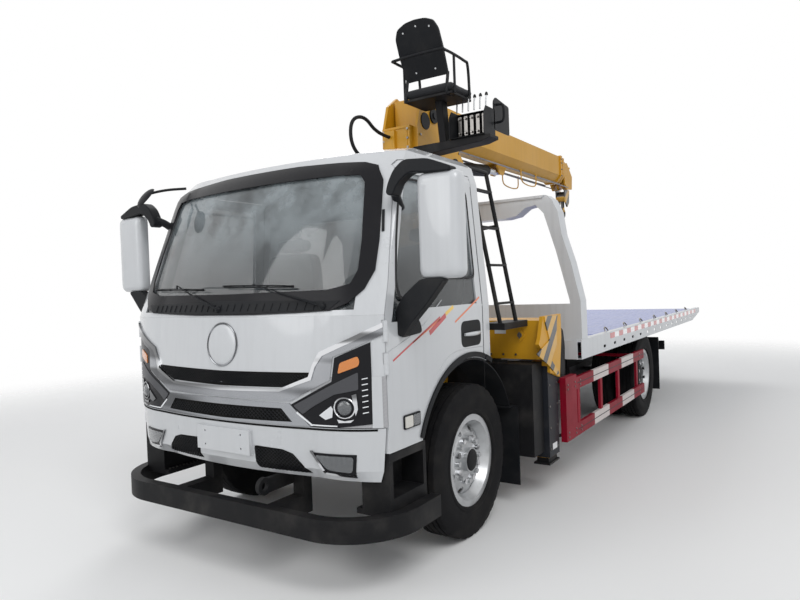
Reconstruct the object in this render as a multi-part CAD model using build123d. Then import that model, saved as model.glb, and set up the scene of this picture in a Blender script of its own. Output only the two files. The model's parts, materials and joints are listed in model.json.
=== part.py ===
from build123d import *
import os
from math import cos, pi, sin, tan

# Cab-over tow truck with a rear-facing telescopic crane, a sliding and tilting
# bed and a wheel lift. Lengths are millimetres and z is measured from the road.
# The stations named _X count forwards from the front axle, and the finished
# pieces are moved at the end so that the origin is under the truck's middle.

# Overall
WHEELBASE = 4200
FRONT_OVERHANG = 1200
REAR_OVERHANG = 3200
BED_HALF_WIDTH = 1250
REAR_AXLE_X = -WHEELBASE
ORIGIN_X = (FRONT_OVERHANG - WHEELBASE - REAR_OVERHANG) / 2
RUNNING_GAP = 0.4
MOVING_GAP = 5

# Wheels
TYRE_R = 487
TYRE_WIDTH = 235
RIM_R = 292
RIM_WELL_R = 232
RIM_METAL = 12
FRONT_TYRE_FACE_Y = 1037
REAR_TYRE_FACE_Y = 1142
TWIN_GAP = 35
LUG_COUNT = 8
LUG_CIRCLE_R = 137.5
LUG_R = 16
HAND_HOLE_COUNT = 8
HAND_HOLE_CIRCLE_R = 196
HAND_HOLE_R = 21
BRAKE_DRUM_R = 205
AXLE_Z = TYRE_R

# Chassis
RAIL_OUTER_Y = 430
RAIL_TOP_Z = 850
RAIL_DEPTH = 240
RAIL_FLANGE = 75
RAIL_METAL = 8
RAIL_FRONT_X = 860
RAIL_REAR_X = REAR_AXLE_X - 1400
CROSS_MEMBER_DEPTH = 140
SPRING_WIDTH = 70
KINGPIN_Y = 780
KINGPIN_R = 18

# Cab shell: each section's height, nose, half width and corner station
CAB_BOTTOM_Z = 745
CAB_BACK_X = -300
CAB_HALF_WIDTH = 1030
CAB_NOSE_X = 1136
CAB_WALL = 26
BELT_Z = 1470
WINDSCREEN_TOP_Z = 2280
ROOF_Z = 2450
DOOR_FRONT_X = 930
CORNER_X = DOOR_FRONT_X + 8
CAB_SECTIONS = [
    (CAB_BOTTOM_Z, CAB_NOSE_X - 8, CAB_HALF_WIDTH, CORNER_X),
    (1100, CAB_NOSE_X, CAB_HALF_WIDTH, CORNER_X),
    (BELT_Z, CAB_NOSE_X - 36, CAB_HALF_WIDTH, CORNER_X),
    (WINDSCREEN_TOP_Z, CAB_NOSE_X - 320, CAB_HALF_WIDTH - 62, CORNER_X - 310),
    (2395, CAB_NOSE_X - 440, CAB_HALF_WIDTH - 95, CORNER_X - 420),
    (ROOF_Z, CAB_NOSE_X - 660, CAB_HALF_WIDTH - 170, CORNER_X - 620),
]
NOSE_BOW = 56
NOSE_FLAT_SHARE = 0.63
DOOR_REAR_X = -205
DOOR_TOP_Z = 2325
ARCH_R = 655
DOOR_HINGE_R = 16
DOOR_HINGE_HEIGHTS = (1215, 1385)
DOOR_HINGE_LENGTH = 55
CAB_FLOOR_Z = 1145
FOOTWELL_Z = 800
TOEBOARD_X = 930
TUNNEL_HALF_WIDTH = 370
TUNNEL_TOP_Z = 1330

# Bumper and under-run bar
BUMPER_TOP_Z = 880
BUMPER_BOTTOM_Z = 593
BUMPER_HALF_WIDTH = 1000
PLATE_WIDTH = 440
PLATE_HEIGHT = 140
PLATE_Z = 765
PLATE_HOLE_SPACING_Y = 300
PLATE_HOLE_SPACING_Z = 80
PLATE_HOLE_R = 6
UNDERRUN_HALF_WIDTH = 1110
UNDERRUN_BOTTOM_Z = 320
UNDERRUN_HEIGHT = 120
UNDERRUN_METAL = 60
UNDERRUN_CORNER_R = 420
TOW_EYE_BORE_R = 25
TOW_EYE_R = 48
TOW_EYE_METAL = 28

# Crane
CRANE_X = -900
HOUSING_FRONT_X = -795
HOUSING_REAR_X = -1165
HOUSING_BOTTOM_Z = 1045
HOUSING_TOP_Z = 1330
HOUSING_HALF_WIDTH = 1190
HOUSING_METAL = 15
BEAM_CLEARANCE = 3
COLUMN_TOP_Z = 2490
COLUMN_METAL = 14
TURRET_GAP = 0.4
TURRET_HALF_WIDTH = 175
TURRET_METAL = 24
BOOM_HINGE_X = -1120
BOOM_HINGE_Z = 3050
BOOM_TOP_Z = 3200
BOOM_BOTTOM_Z = 2880
BOOM_HALF_WIDTH = 130
BOOM_KEEL_HALF_WIDTH = 62
BOOM_SHOULDER_Z = 2965
BOOM_METAL = 8
BOOM_NEST = 14
BOOM_ROOT_X = -1000
BOOM_BASE_END_X = -4430
BOOM_STEP = 110
LUFF_PIVOT_X = -1480
LUFF_PIVOT_Z = 2690
LUFF_EYE_X = -2750
LUFF_EYE_Z = 2820
LUFF_BARREL_R = 62
LUFF_ROD_R = 36
PIN_R = 25

# Outriggers
LEG_X = -1000
LEG_LENGTH_X = 200
LEG_WIDTH_Y = 120
LEG_OUTER_Y = 1198
LEG_TOP_Z = 1020
LEG_BOTTOM_Z = 300
LEG_METAL = 10
JACK_CLEARANCE = 4
FOOT_Z = 246
YOKE_OUTER_Y = 1222

# Bed
BED_FRONT_X = -1560
LOAD_FRONT_X = BED_FRONT_X - 740
LOAD_HALF_WIDTH = 1184
BED_TAIL_X = -WHEELBASE - REAR_OVERHANG
SIDE_RAIL_TOP_Z = 1124
SIDE_RAIL_BOTTOM_Z = 961
SIDE_RAIL_METAL = 6
DECK_TOP_Z = 1104
LOAD_TOP_Z = DECK_TOP_Z + 3
DECK_METAL = 6
CROSS_BEARER_BOTTOM_Z = 1005
CROSS_BEARER_COUNT = 13
RUNNER_INNER_Y = 440
RUNNER_WIDTH = 60
RUNNER_BOTTOM_Z = 880
TILT_FRAME_WIDTH = 80
TILT_FRAME_TOP_Z = 986
TILT_PIVOT_X = REAR_AXLE_X - 1200
TILT_PIVOT_Z = 800
RAIL_HOLE_COUNT = 14
RAIL_HOLE_PITCH = 338
RAIL_HOLE_FIRST_X = -2220
RAIL_HOLE_Z = 1010
LIFT_PIVOT_X = REAR_AXLE_X + 450
LIFT_PIVOT_Z = 700
LIFT_EYE_X = -2600
LIFT_EYE_Z = 900
LIFT_Y = 200
GANTRY_TOP_Z = 2344
GANTRY_FOOT_WIDTH = 66
GANTRY_DEPTH = 150

# Wheel lift
WHEEL_LIFT_PIVOT_X = REAR_AXLE_X - 1000
WHEEL_LIFT_Z = 320
WHEEL_LIFT_BAR_X = -6400
WHEEL_LIFT_HALF = 60

# Side guards
GUARD_FRONT_X = -1145
GUARD_POST_X = -1400
GUARD_REAR_X = REAR_AXLE_X + 533
GUARD_UPPER_Z = (741, 836)
GUARD_LOWER_Z = (368, 467)
GUARD_METAL = 28


def block(x0, x1, y0, y1, z0, z1):
    """Box between two opposite corners."""
    size = Box(abs(x1 - x0), abs(y1 - y0), abs(z1 - z0))
    return Pos((x0 + x1) / 2, (y0 + y1) / 2, (z0 + z1) / 2) * size


def rod(start, end, radius):
    """Round bar between the centres of its two end faces."""
    run = Vector(*end) - Vector(*start)
    place = Location(Plane(origin=start, z_dir=run))
    return place * Cylinder(radius, run.length, align=(Align.CENTER, Align.CENTER, Align.MIN))


def pipe(start, end, radius, bore):
    """Round tube between the centres of its two end faces."""
    return rod(start, end, radius) - rod(start, end, bore)


def plate_xz(points, y0, y1):
    """Upright plate with its outline seen from the side."""
    face = Face(Wire.make_polygon([(x, min(y0, y1), z) for x, z in points]))
    return extrude(face, amount=abs(y1 - y0), dir=(0, 1, 0))


def plate_yz(points, x0, x1):
    """Upright plate with its outline seen from the front."""
    face = Face(Wire.make_polygon([(min(x0, x1), y, z) for y, z in points]))
    return extrude(face, amount=abs(x1 - x0), dir=(1, 0, 0))


def plate_xy(points, z0, z1):
    """Level plate with its outline seen from above."""
    face = Face(Wire.make_polygon([(x, y, min(z0, z1)) for x, y in points]))
    return extrude(face, amount=abs(z1 - z0), dir=(0, 0, 1))


def other_side(shape):
    """The same piece on the other side of the truck."""
    return mirror(shape, about=Plane.XZ)


def both_sides(shape):
    """A piece and its twin on the other side."""
    return [shape, other_side(shape)]


def join(pieces):
    """One body of pieces that touch."""
    return Part() + pieces


def spin_about_axle(profile, x, z):
    """Solid of revolution about a cross-wise axle from (radius, y) points."""
    face = Face(Wire.make_polygon([(x, y, z + r) for r, y in profile]))
    return revolve(face, axis=Axis((x, 0, z), (0, 1, 0)))


# Wheels


def tyre(x, face_y):
    """Tyre with its outer side wall at face_y on the left."""
    inner_y = face_y - TYRE_WIDTH
    bulge = 14
    shoulder = 40
    profile = [
        (RIM_R + RUNNING_GAP, face_y - bulge),
        (RIM_R + 105, face_y),
        (TYRE_R - 24, face_y - 10),
        (TYRE_R, face_y - shoulder),
        (TYRE_R, inner_y + shoulder),
        (TYRE_R - 24, inner_y + 10),
        (RIM_R + 105, inner_y),
        (RIM_R + RUNNING_GAP, inner_y + bulge),
    ]
    return spin_about_axle(profile, x, AXLE_Z)


def rim_barrel(x, face_y):
    """Rim with its two flanges and drop well."""
    lip = 20
    outer_y = face_y - lip
    inner_y = face_y - TYRE_WIDTH + lip
    well_y0 = outer_y - 62
    well_y1 = inner_y + 38
    profile = [
        (RIM_R, outer_y),
        (RIM_R, outer_y - RIM_METAL),
        (RIM_R - 28, outer_y - RIM_METAL - 6),
        (RIM_WELL_R, well_y0),
        (RIM_WELL_R, well_y1),
        (RIM_R - 28, inner_y + RIM_METAL + 6),
        (RIM_R, inner_y + RIM_METAL),
        (RIM_R, inner_y),
        (RIM_R - 40, inner_y),
        (RIM_WELL_R - RIM_METAL, well_y1 - 6),
        (RIM_WELL_R - RIM_METAL, well_y0 + 6),
        (RIM_R - 40, outer_y),
    ]
    return spin_about_axle(profile, x, AXLE_Z)


def wheel_disc(x, bolt_y, rim_y):
    """Dished disc from the bolting face out to the rim well."""
    outer_r = RIM_WELL_R - RIM_METAL / 2
    profile = [
        (70, bolt_y),
        (172, bolt_y),
        (outer_r, rim_y),
        (outer_r, rim_y - RIM_METAL),
        (172, bolt_y - RIM_METAL),
        (70, bolt_y - RIM_METAL),
    ]
    disc = spin_about_axle(profile, x, AXLE_Z)
    for i in range(HAND_HOLE_COUNT):
        angle = 2 * pi * (i + 0.5) / HAND_HOLE_COUNT
        hx = x + HAND_HOLE_CIRCLE_R * cos(angle)
        hz = AXLE_Z + HAND_HOLE_CIRCLE_R * sin(angle)
        low = min(bolt_y, rim_y) - 60
        disc -= rod((hx, low, hz), (hx, low + 260, hz), HAND_HOLE_R)
    return disc


def lug_nuts(x, y0, y1):
    """Ring of nuts standing on the wheel disc."""
    nuts = []
    for i in range(LUG_COUNT):
        angle = 2 * pi * i / LUG_COUNT
        nx = x + LUG_CIRCLE_R * cos(angle)
        nz = AXLE_Z + LUG_CIRCLE_R * sin(angle)
        nuts.append(rod((nx, y0, nz), (nx, y1, nz), LUG_R))
    return nuts


FRONT_DISC_Y = FRONT_TYRE_FACE_Y - 52
FRONT_DRUM_INNER_Y = FRONT_TYRE_FACE_Y - 205
SPINDLE_R = 32
SPINDLE_END_Y = FRONT_DISC_Y - 30


def front_rim():
    """Front rim, disc, hub and brake drum of the left wheel."""
    drum = pipe(
        (0, FRONT_DRUM_INNER_Y, AXLE_Z),
        (0, FRONT_DISC_Y - RIM_METAL, AXLE_Z),
        BRAKE_DRUM_R - 20,
        BRAKE_DRUM_R - 34,
    )
    drum += pipe(
        (0, FRONT_DISC_Y - RIM_METAL - 12, AXLE_Z),
        (0, FRONT_DISC_Y - RIM_METAL, AXLE_Z),
        BRAKE_DRUM_R - 20,
        60,
    )
    hub = rod((0, FRONT_DISC_Y - 130, AXLE_Z), (0, FRONT_DISC_Y + 34, AXLE_Z), 76)
    hub -= rod((0, FRONT_DISC_Y - 140, AXLE_Z), (0, SPINDLE_END_Y + 2, AXLE_Z), SPINDLE_R + RUNNING_GAP)
    pieces = [rim_barrel(0, FRONT_TYRE_FACE_Y), wheel_disc(0, FRONT_DISC_Y, FRONT_DISC_Y - 34), drum, hub]
    return join(pieces + lug_nuts(0, FRONT_DISC_Y - 2, FRONT_DISC_Y + 24))


TWIN_INNER_FACE_Y = REAR_TYRE_FACE_Y - TYRE_WIDTH - TWIN_GAP
REAR_BOLT_Y = REAR_TYRE_FACE_Y - TYRE_WIDTH - TWIN_GAP / 2 + RIM_METAL
REAR_DRUM_INNER_Y = TWIN_INNER_FACE_Y - 205


def rear_rims():
    """Twin rims bolted back to back with the hub and brake drum."""
    x = REAR_AXLE_X
    outer = rim_barrel(x, REAR_TYRE_FACE_Y)
    inner = rim_barrel(x, TWIN_INNER_FACE_Y)
    outer_disc = wheel_disc(x, REAR_BOLT_Y, REAR_BOLT_Y + 70)
    inner_disc = wheel_disc(x, REAR_BOLT_Y - RIM_METAL, TWIN_INNER_FACE_Y - 100)
    drum = pipe((x, REAR_DRUM_INNER_Y, AXLE_Z), (x, REAR_BOLT_Y - 2 * RIM_METAL + 1, AXLE_Z), 190, 176)
    drum += pipe((x, REAR_BOLT_Y - 2 * RIM_METAL - 11, AXLE_Z), (x, REAR_BOLT_Y - 2 * RIM_METAL + 1, AXLE_Z), 190, 60)
    hub = pipe((x, REAR_DRUM_INNER_Y + 60, AXLE_Z), (x, REAR_BOLT_Y + 60, AXLE_Z), 95, 66)
    cap = rod((x, REAR_BOLT_Y + 56, AXLE_Z), (x, REAR_BOLT_Y + 88, AXLE_Z), 88)
    pieces = [outer, inner, outer_disc, inner_disc, drum, hub, cap]
    return join(pieces + lug_nuts(x, REAR_BOLT_Y - 2, REAR_BOLT_Y + 26))


def write_wheels(save):
    """Four wheels, the rear ones twins."""
    front = tyre(0, FRONT_TYRE_FACE_Y)
    rear = Compound([tyre(REAR_AXLE_X, REAR_TYRE_FACE_Y), tyre(REAR_AXLE_X, TWIN_INNER_FACE_Y)])
    front_metal = front_rim()
    rear_metal = rear_rims()
    save("tyre_front_left", front)
    save("tyre_front_right", other_side(front))
    save("tyres_rear_left", rear)
    save("tyres_rear_right", other_side(rear))
    save("rim_front_left", front_metal)
    save("rim_front_right", other_side(front_metal))
    save("rims_rear_left", rear_metal)
    save("rims_rear_right", other_side(rear_metal))


# Axles and chassis


def knuckle():
    """Left steering knuckle: forked ears on the kingpin, backing plate and spindle."""
    web_y = KINGPIN_Y + 44
    plate_y = FRONT_DRUM_INNER_Y - 4
    ear_gap = 62
    ears = [
        block(-42, 42, KINGPIN_Y - 40, web_y + 18, AXLE_Z + s * ear_gap, AXLE_Z + s * (ear_gap + 26)) for s in (-1, 1)
    ]
    web = block(-42, 42, web_y, web_y + 18, AXLE_Z - ear_gap - 26, AXLE_Z + ear_gap + 26)
    pin = rod((0, KINGPIN_Y, AXLE_Z - ear_gap - 30), (0, KINGPIN_Y, AXLE_Z + ear_gap + 30), KINGPIN_R)
    spindle = rod((0, web_y, AXLE_Z), (0, SPINDLE_END_Y, AXLE_Z), SPINDLE_R)
    backing = pipe((0, web_y + 1, AXLE_Z), (0, plate_y, AXLE_Z), BRAKE_DRUM_R - 24, SPINDLE_R - 2)
    arm = plate_xy(
        [(-30, web_y + 8), (-30, KINGPIN_Y - 10), (-210, KINGPIN_Y - 70), (-225, KINGPIN_Y - 30), (-60, web_y + 8)],
        AXLE_Z + ear_gap,
        AXLE_Z + ear_gap + 26,
    )
    return join(ears + [web, pin, spindle, backing, arm])


def leaf_spring(x, z_top, half_length, leaves):
    """Stack of leaves that shorten downwards, on the left rail's line."""
    y1 = RAIL_OUTER_Y - 2
    y0 = y1 - SPRING_WIDTH
    leaf = 14
    stack = []
    for i in range(leaves):
        reach = half_length * (1 - 0.11 * i)
        stack.append(block(x - reach, x + reach, y0, y1, z_top - leaf * (i + 1), z_top - leaf * i))
    return join(stack)


SPRING_TOP_Z = RAIL_TOP_Z - RAIL_DEPTH - 0.3


def front_axle():
    """Forged beam with a dropped middle, kingpin eyes, springs and spring clamps."""
    beam_half = 42
    drop = 50
    outline = [
        (KINGPIN_Y, AXLE_Z + beam_half),
        (KINGPIN_Y, AXLE_Z - beam_half),
        (560, AXLE_Z - beam_half - drop),
        (-560, AXLE_Z - beam_half - drop),
        (-KINGPIN_Y, AXLE_Z - beam_half),
        (-KINGPIN_Y, AXLE_Z + beam_half),
        (-560, AXLE_Z + beam_half - drop + 10),
        (560, AXLE_Z + beam_half - drop + 10),
    ]
    beam = plate_yz(outline, -38, 38)
    for s in (-1, 1):
        groove_y = s * 300
        for side in (-1, 1):
            beam -= block(side * 14, side * 60, groove_y - 220, groove_y + 220, AXLE_Z - 74, AXLE_Z - 16)
    for s in (-1, 1):
        beam += rod((0, s * KINGPIN_Y, AXLE_Z - 60), (0, s * KINGPIN_Y, AXLE_Z + 60), 40)
        beam -= rod((0, s * KINGPIN_Y, AXLE_Z - 70), (0, s * KINGPIN_Y, AXLE_Z + 70), KINGPIN_R + RUNNING_GAP)
    spring = leaf_spring(0, SPRING_TOP_Z, 620, 6)
    seat_top = SPRING_TOP_Z - 6 * 14
    seat = block(-70, 70, RAIL_OUTER_Y - 92, RAIL_OUTER_Y + 12, AXLE_Z - 8, seat_top)
    return join([beam] + both_sides(spring) + both_sides(seat))


def rear_axle():
    """Banjo housing, axle tubes, springs, propeller shaft and gearbox tail."""
    x = REAR_AXLE_X
    end_y = REAR_DRUM_INNER_Y - 12
    tube = rod((x, -end_y, AXLE_Z), (x, end_y, AXLE_Z), 68)
    stubs = rod((x, -REAR_BOLT_Y - 20, AXLE_Z), (x, REAR_BOLT_Y + 20, AXLE_Z), 60)
    backing = pipe((x, end_y - 10, AXLE_Z), (x, end_y, AXLE_Z), 180, 66)
    banjo = Pos(x, 0, AXLE_Z) * Rot(90, 0, 0) * Cylinder(195, 150)
    banjo += rod((x - 60, 0, AXLE_Z), (x + 300, 0, AXLE_Z + 20), 95)
    spring = leaf_spring(x, SPRING_TOP_Z, 700, 5)
    return join([tube, stubs, banjo] + both_sides(backing) + both_sides(spring))


def chassis_rail():
    """Left channel rail, open towards the inside."""
    z0 = RAIL_TOP_Z - RAIL_DEPTH
    inner = RAIL_OUTER_Y - RAIL_FLANGE
    rail = block(RAIL_REAR_X, RAIL_FRONT_X, inner, RAIL_OUTER_Y, z0, RAIL_TOP_Z)
    hollow = block(
        RAIL_REAR_X - 1,
        RAIL_FRONT_X + 1,
        inner - 1,
        RAIL_OUTER_Y - RAIL_METAL,
        z0 + RAIL_METAL,
        RAIL_TOP_Z - RAIL_METAL,
    )
    return rail - hollow


CROSS_MEMBER_STATIONS = (790, -830, -1330, -2250, REAR_AXLE_X - 550, RAIL_REAR_X + 60)


def chassis_frame():
    """Ladder frame with cross members, pivot tubes and spring hangers."""
    inner = RAIL_OUTER_Y - RAIL_METAL
    pieces = both_sides(chassis_rail())
    top = RAIL_TOP_Z - RAIL_METAL
    for x in CROSS_MEMBER_STATIONS:
        web = block(x - 4, x + 4, -inner, inner, top - CROSS_MEMBER_DEPTH, top)
        lips = [block(x - 4, x + 50, -inner, inner, z, z + 8) for z in (top - CROSS_MEMBER_DEPTH, top - 8)]
        pieces += [web] + lips
    for x, z in ((TILT_PIVOT_X, TILT_PIVOT_Z), (LIFT_PIVOT_X, LIFT_PIVOT_Z)):
        pieces.append(rod((x, -inner, z), (x, inner, z), PIN_R))
    for x in (560, -600, REAR_AXLE_X + 660, REAR_AXLE_X - 680):
        shoe = block(x - 40, x + 40, RAIL_OUTER_Y, RAIL_OUTER_Y + 14, SPRING_TOP_Z - 60, RAIL_TOP_Z - 80)
        pieces += both_sides(shoe)
    drop_x = WHEEL_LIFT_PIVOT_X
    hanger = plate_xz(
        [
            (drop_x - 120, RAIL_TOP_Z - 60),
            (drop_x + 160, RAIL_TOP_Z - 60),
            (drop_x + 60, WHEEL_LIFT_Z - 60),
            (drop_x - 60, WHEEL_LIFT_Z - 60),
        ],
        RAIL_OUTER_Y - 10,
        RAIL_OUTER_Y + 14,
    )
    pieces += both_sides(hanger)
    pieces.append(rod((drop_x, -RAIL_OUTER_Y, WHEEL_LIFT_Z), (drop_x, RAIL_OUTER_Y, WHEEL_LIFT_Z), PIN_R))
    return join(pieces)


ENGINE_HALF_WIDTH = 290
ENGINE_BOTTOM_Z = 545
ENGINE_TOP_Z = 1230
ENGINE_FRONT_X = 640
ENGINE_REAR_X = -180


def engine_block():
    """Engine as one plain block with its sump, resting on two mounts."""
    body = block(ENGINE_REAR_X, ENGINE_FRONT_X, -ENGINE_HALF_WIDTH, ENGINE_HALF_WIDTH, 690, ENGINE_TOP_Z)
    sump = block(ENGINE_REAR_X + 60, ENGINE_FRONT_X - 120, -170, 170, ENGINE_BOTTOM_Z, 690)
    foot_y = RAIL_OUTER_Y - RAIL_METAL - 0.3
    feet = block(150, 260, -foot_y, foot_y, 700, 760)
    return join([body, sump, feet])


def driveline():
    """Gearbox behind the engine and the propeller shaft to the rear axle."""
    case = block(-640, ENGINE_REAR_X - 0.3, -170, 170, 560, 860)
    tail = rod((-760, 0, 640), (-620, 0, 640), 80)
    nose_x = REAR_AXLE_X + 303
    shaft = rod((-759, 0, 640), (nose_x, 0, AXLE_Z + 20), 42)
    carrier = block(-2290, -2240, -130, 130, 560, RAIL_TOP_Z - RAIL_METAL - CROSS_MEMBER_DEPTH - 0.3)
    return join([case, tail, shaft, carrier])


def side_tanks():
    """Hydraulic tank on the left, fuel tank and battery box on the right, air tanks."""
    web = RAIL_OUTER_Y + 0.3
    skin = 5
    oil = block(-880, -690, 560, 1165, 350, 1020)
    oil -= block(-880 + skin, -690 - skin, 560 + skin, 1165 - skin, 350 + skin, 1020 - skin)
    oil += block(-860, -710, web, 570, 640, 820)
    battery = block(-880, -690, -1165, -560, 350, 1020)
    battery -= block(-880 + skin, -690 - skin, -1165 + skin, -560 - skin, 350 + skin, 1020 - skin)
    battery += block(-860, -710, -570, -web, 640, 820)
    fuel = block(-2500, -1560, -1120, -600, 420, 850)
    fuel = fillet(fuel.edges().filter_by(Axis.X), 60)
    fuel_air = block(-2500 + skin, -1560 - skin, -1120 + skin, -600 - skin, 420 + skin, 850 - skin)
    fuel -= fillet(fuel_air.edges().filter_by(Axis.X), 55)
    for x in (-1650, -2300):
        fuel += block(x - 30, x + 30, -620, -web, 560, 760)
    air = []
    for y in (620, 840):
        air.append(rod((-2300, y, 620), (-1560, y, 620), 105))
    straps = [block(x - 25, x + 25, web, 900, 706, 730) for x in (-1700, -2150)]
    return Compound([oil, battery, fuel, join(air + straps)])


def front_guards():
    """Arched liners over the front tyres and the flaps behind every wheel."""
    inner_y = 770
    outer_y = CAB_HALF_WIDTH - 6
    liner = pipe((0, inner_y, AXLE_Z), (0, outer_y, AXLE_Z), ARCH_R - 6, ARCH_R - 14)
    liner = liner & block(-600, 520, 0, 1200, AXLE_Z + 230, 2000)
    flap_x = -660
    flap = block(flap_x, flap_x + 10, inner_y, outer_y + 40, 150, AXLE_Z + 236)
    flap += block(flap_x, flap_x + 74, inner_y, outer_y, AXLE_Z + 228, AXLE_Z + 240)
    arm_z = 650
    arm = block(flap_x, flap_x + 10, RAIL_OUTER_Y + 0.3, inner_y + 20, arm_z, arm_z + 60)
    rear_x = REAR_AXLE_X - TYRE_R - 260
    rear_flap = block(rear_x, rear_x + 10, TWIN_INNER_FACE_Y - TYRE_WIDTH, REAR_TYRE_FACE_Y, 200, 860)
    rear_arm = block(rear_x - 10, rear_x + 20, RAIL_OUTER_Y + 0.3, REAR_TYRE_FACE_Y, 800, 840)
    return Compound(both_sides(join([liner, flap, arm])) + both_sides(join([rear_flap, rear_arm])))


def side_guards():
    """Two striped beams a side on posts and arms that reach in to the rails."""
    outer = BED_HALF_WIDTH
    inner = outer - GUARD_METAL
    pieces = [block(GUARD_POST_X, GUARD_FRONT_X, inner - 20, outer, GUARD_LOWER_Z[0], GUARD_UPPER_Z[1] + 28)]
    for z0, z1 in (GUARD_UPPER_Z, GUARD_LOWER_Z):
        pieces.append(block(GUARD_REAR_X, GUARD_POST_X + 1, inner, outer, z0, z1))
    for x in (GUARD_POST_X - 90, GUARD_REAR_X + 200):
        pieces.append(block(x - 30, x + 30, inner - 20, inner + 1, GUARD_LOWER_Z[0] + 4, GUARD_UPPER_Z[1] - 4))
        pieces.append(block(x - 30, x + 30, RAIL_OUTER_Y + 0.3, inner, 775, 805))
    return Compound(both_sides(join(pieces)))


def tail_lamps():
    """Lamp bars and round lamps at the chassis tail."""
    x = RAIL_REAR_X + 40
    bar = block(x, x + 12, RAIL_OUTER_Y + 0.3, 1090, 690, 740)
    board = block(x - 4, x + 12, 760, 1090, 640, 760)
    pieces = [bar, board]
    for y in (815, 915, 1030):
        pieces.append(rod((x - 34, y, 700), (x - 3, y, 700), 42))
    return Compound(both_sides(join(pieces)))


# Cab


def cab_plan(front, half_width, corner_x, back, z):
    """Level cut of the cab: bowed nose, rounded corners and straight sides."""
    flat = half_width * NOSE_FLAT_SHARE
    bow_x = front - NOSE_BOW
    mid = ((bow_x + corner_x) / 2 + 18, (flat + half_width) / 2 + 30)
    right_mid = (mid[0], -mid[1])
    edges = [
        ThreePointArc((bow_x, -flat), (front, 0), (bow_x, flat)),
        ThreePointArc((bow_x, flat), mid, (corner_x, half_width)),
        Line((corner_x, half_width), (back, half_width)),
        Line((back, half_width), (back, -half_width)),
        Line((back, -half_width), (corner_x, -half_width)),
        ThreePointArc((corner_x, -half_width), right_mid, (bow_x, -flat)),
    ]
    return Pos(0, 0, z) * make_face(edges)


def cab_solid(inset, bottom=CAB_BOTTOM_Z):
    """Cab volume, drawn in by an inset; a negative inset stands outside the skin."""
    faces = []
    for i, (z, front, half_width, corner_x) in enumerate(CAB_SECTIONS):
        level = bottom if i == 0 else z
        if i >= len(CAB_SECTIONS) - 2:
            level = z - inset
        faces.append(cab_plan(front - inset, half_width - inset, corner_x - inset / 2, CAB_BACK_X + inset, level))
    return loft(faces, ruled=True)


DOOR_OUTLINE = [
    (DOOR_FRONT_X, CAB_BOTTOM_Z),
    (DOOR_FRONT_X, BELT_Z - 10),
    (DOOR_FRONT_X - 290, DOOR_TOP_Z - 30),
    (DOOR_FRONT_X - 330, DOOR_TOP_Z),
    (DOOR_REAR_X, DOOR_TOP_Z),
    (DOOR_REAR_X, CAB_BOTTOM_Z),
]
WINDOW_OUTLINE = [
    (DOOR_FRONT_X - 60, BELT_Z - 45),
    (DOOR_FRONT_X - 330, DOOR_TOP_Z - 85),
    (DOOR_FRONT_X - 350, DOOR_TOP_Z - 70),
    (DOOR_REAR_X + 95, DOOR_TOP_Z - 70),
    (DOOR_REAR_X + 80, BELT_Z + 15),
    (DOOR_FRONT_X - 260, BELT_Z + 15),
    (DOOR_FRONT_X - 160, BELT_Z - 45),
]
WINDSCREEN_OUTLINE = [
    (-880, BELT_Z + 30),
    (880, BELT_Z + 30),
    (845, WINDSCREEN_TOP_Z - 40),
    (800, WINDSCREEN_TOP_Z),
    (-800, WINDSCREEN_TOP_Z),
    (-845, WINDSCREEN_TOP_Z - 40),
]
REAR_WINDOW = (620, 1620, 2140)
LAMP_INNER_Y = 640
LAMP_BOTTOM_Z = 884
LAMP_TOP_Z = 1150


def outline_grown(points, amount):
    """Outline pushed outwards by a gap, given as x and z pairs."""
    face = Face(Wire.make_polygon([(x, z, 0) for x, z in points]))
    return offset(face, amount=amount, kind=Kind.INTERSECTION).faces()[0]


def grown_plate(points, amount, y0, y1):
    """Side outline grown by a gap and extruded between two widths."""
    face = outline_grown(points, amount)
    upright = Plane(origin=(0, y0, 0), x_dir=(1, 0, 0), z_dir=(0, -1, 0))
    return extrude(Location(upright) * face, amount=y1 - y0, dir=(0, 1, 0))


def wheel_arch(radius):
    """Cylinder that clears both front wheels."""
    return rod((0, -1300, AXLE_Z), (0, 1300, AXLE_Z), radius)


def hinge_knuckles(z0, z1, radius):
    """Left door hinge barrel sections at both hinge heights."""
    axis_x = DOOR_FRONT_X
    axis_y = CAB_HALF_WIDTH
    return [rod((axis_x, axis_y, z + z0), (axis_x, axis_y, z + z1), radius) for z in DOOR_HINGE_HEIGHTS]


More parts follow.
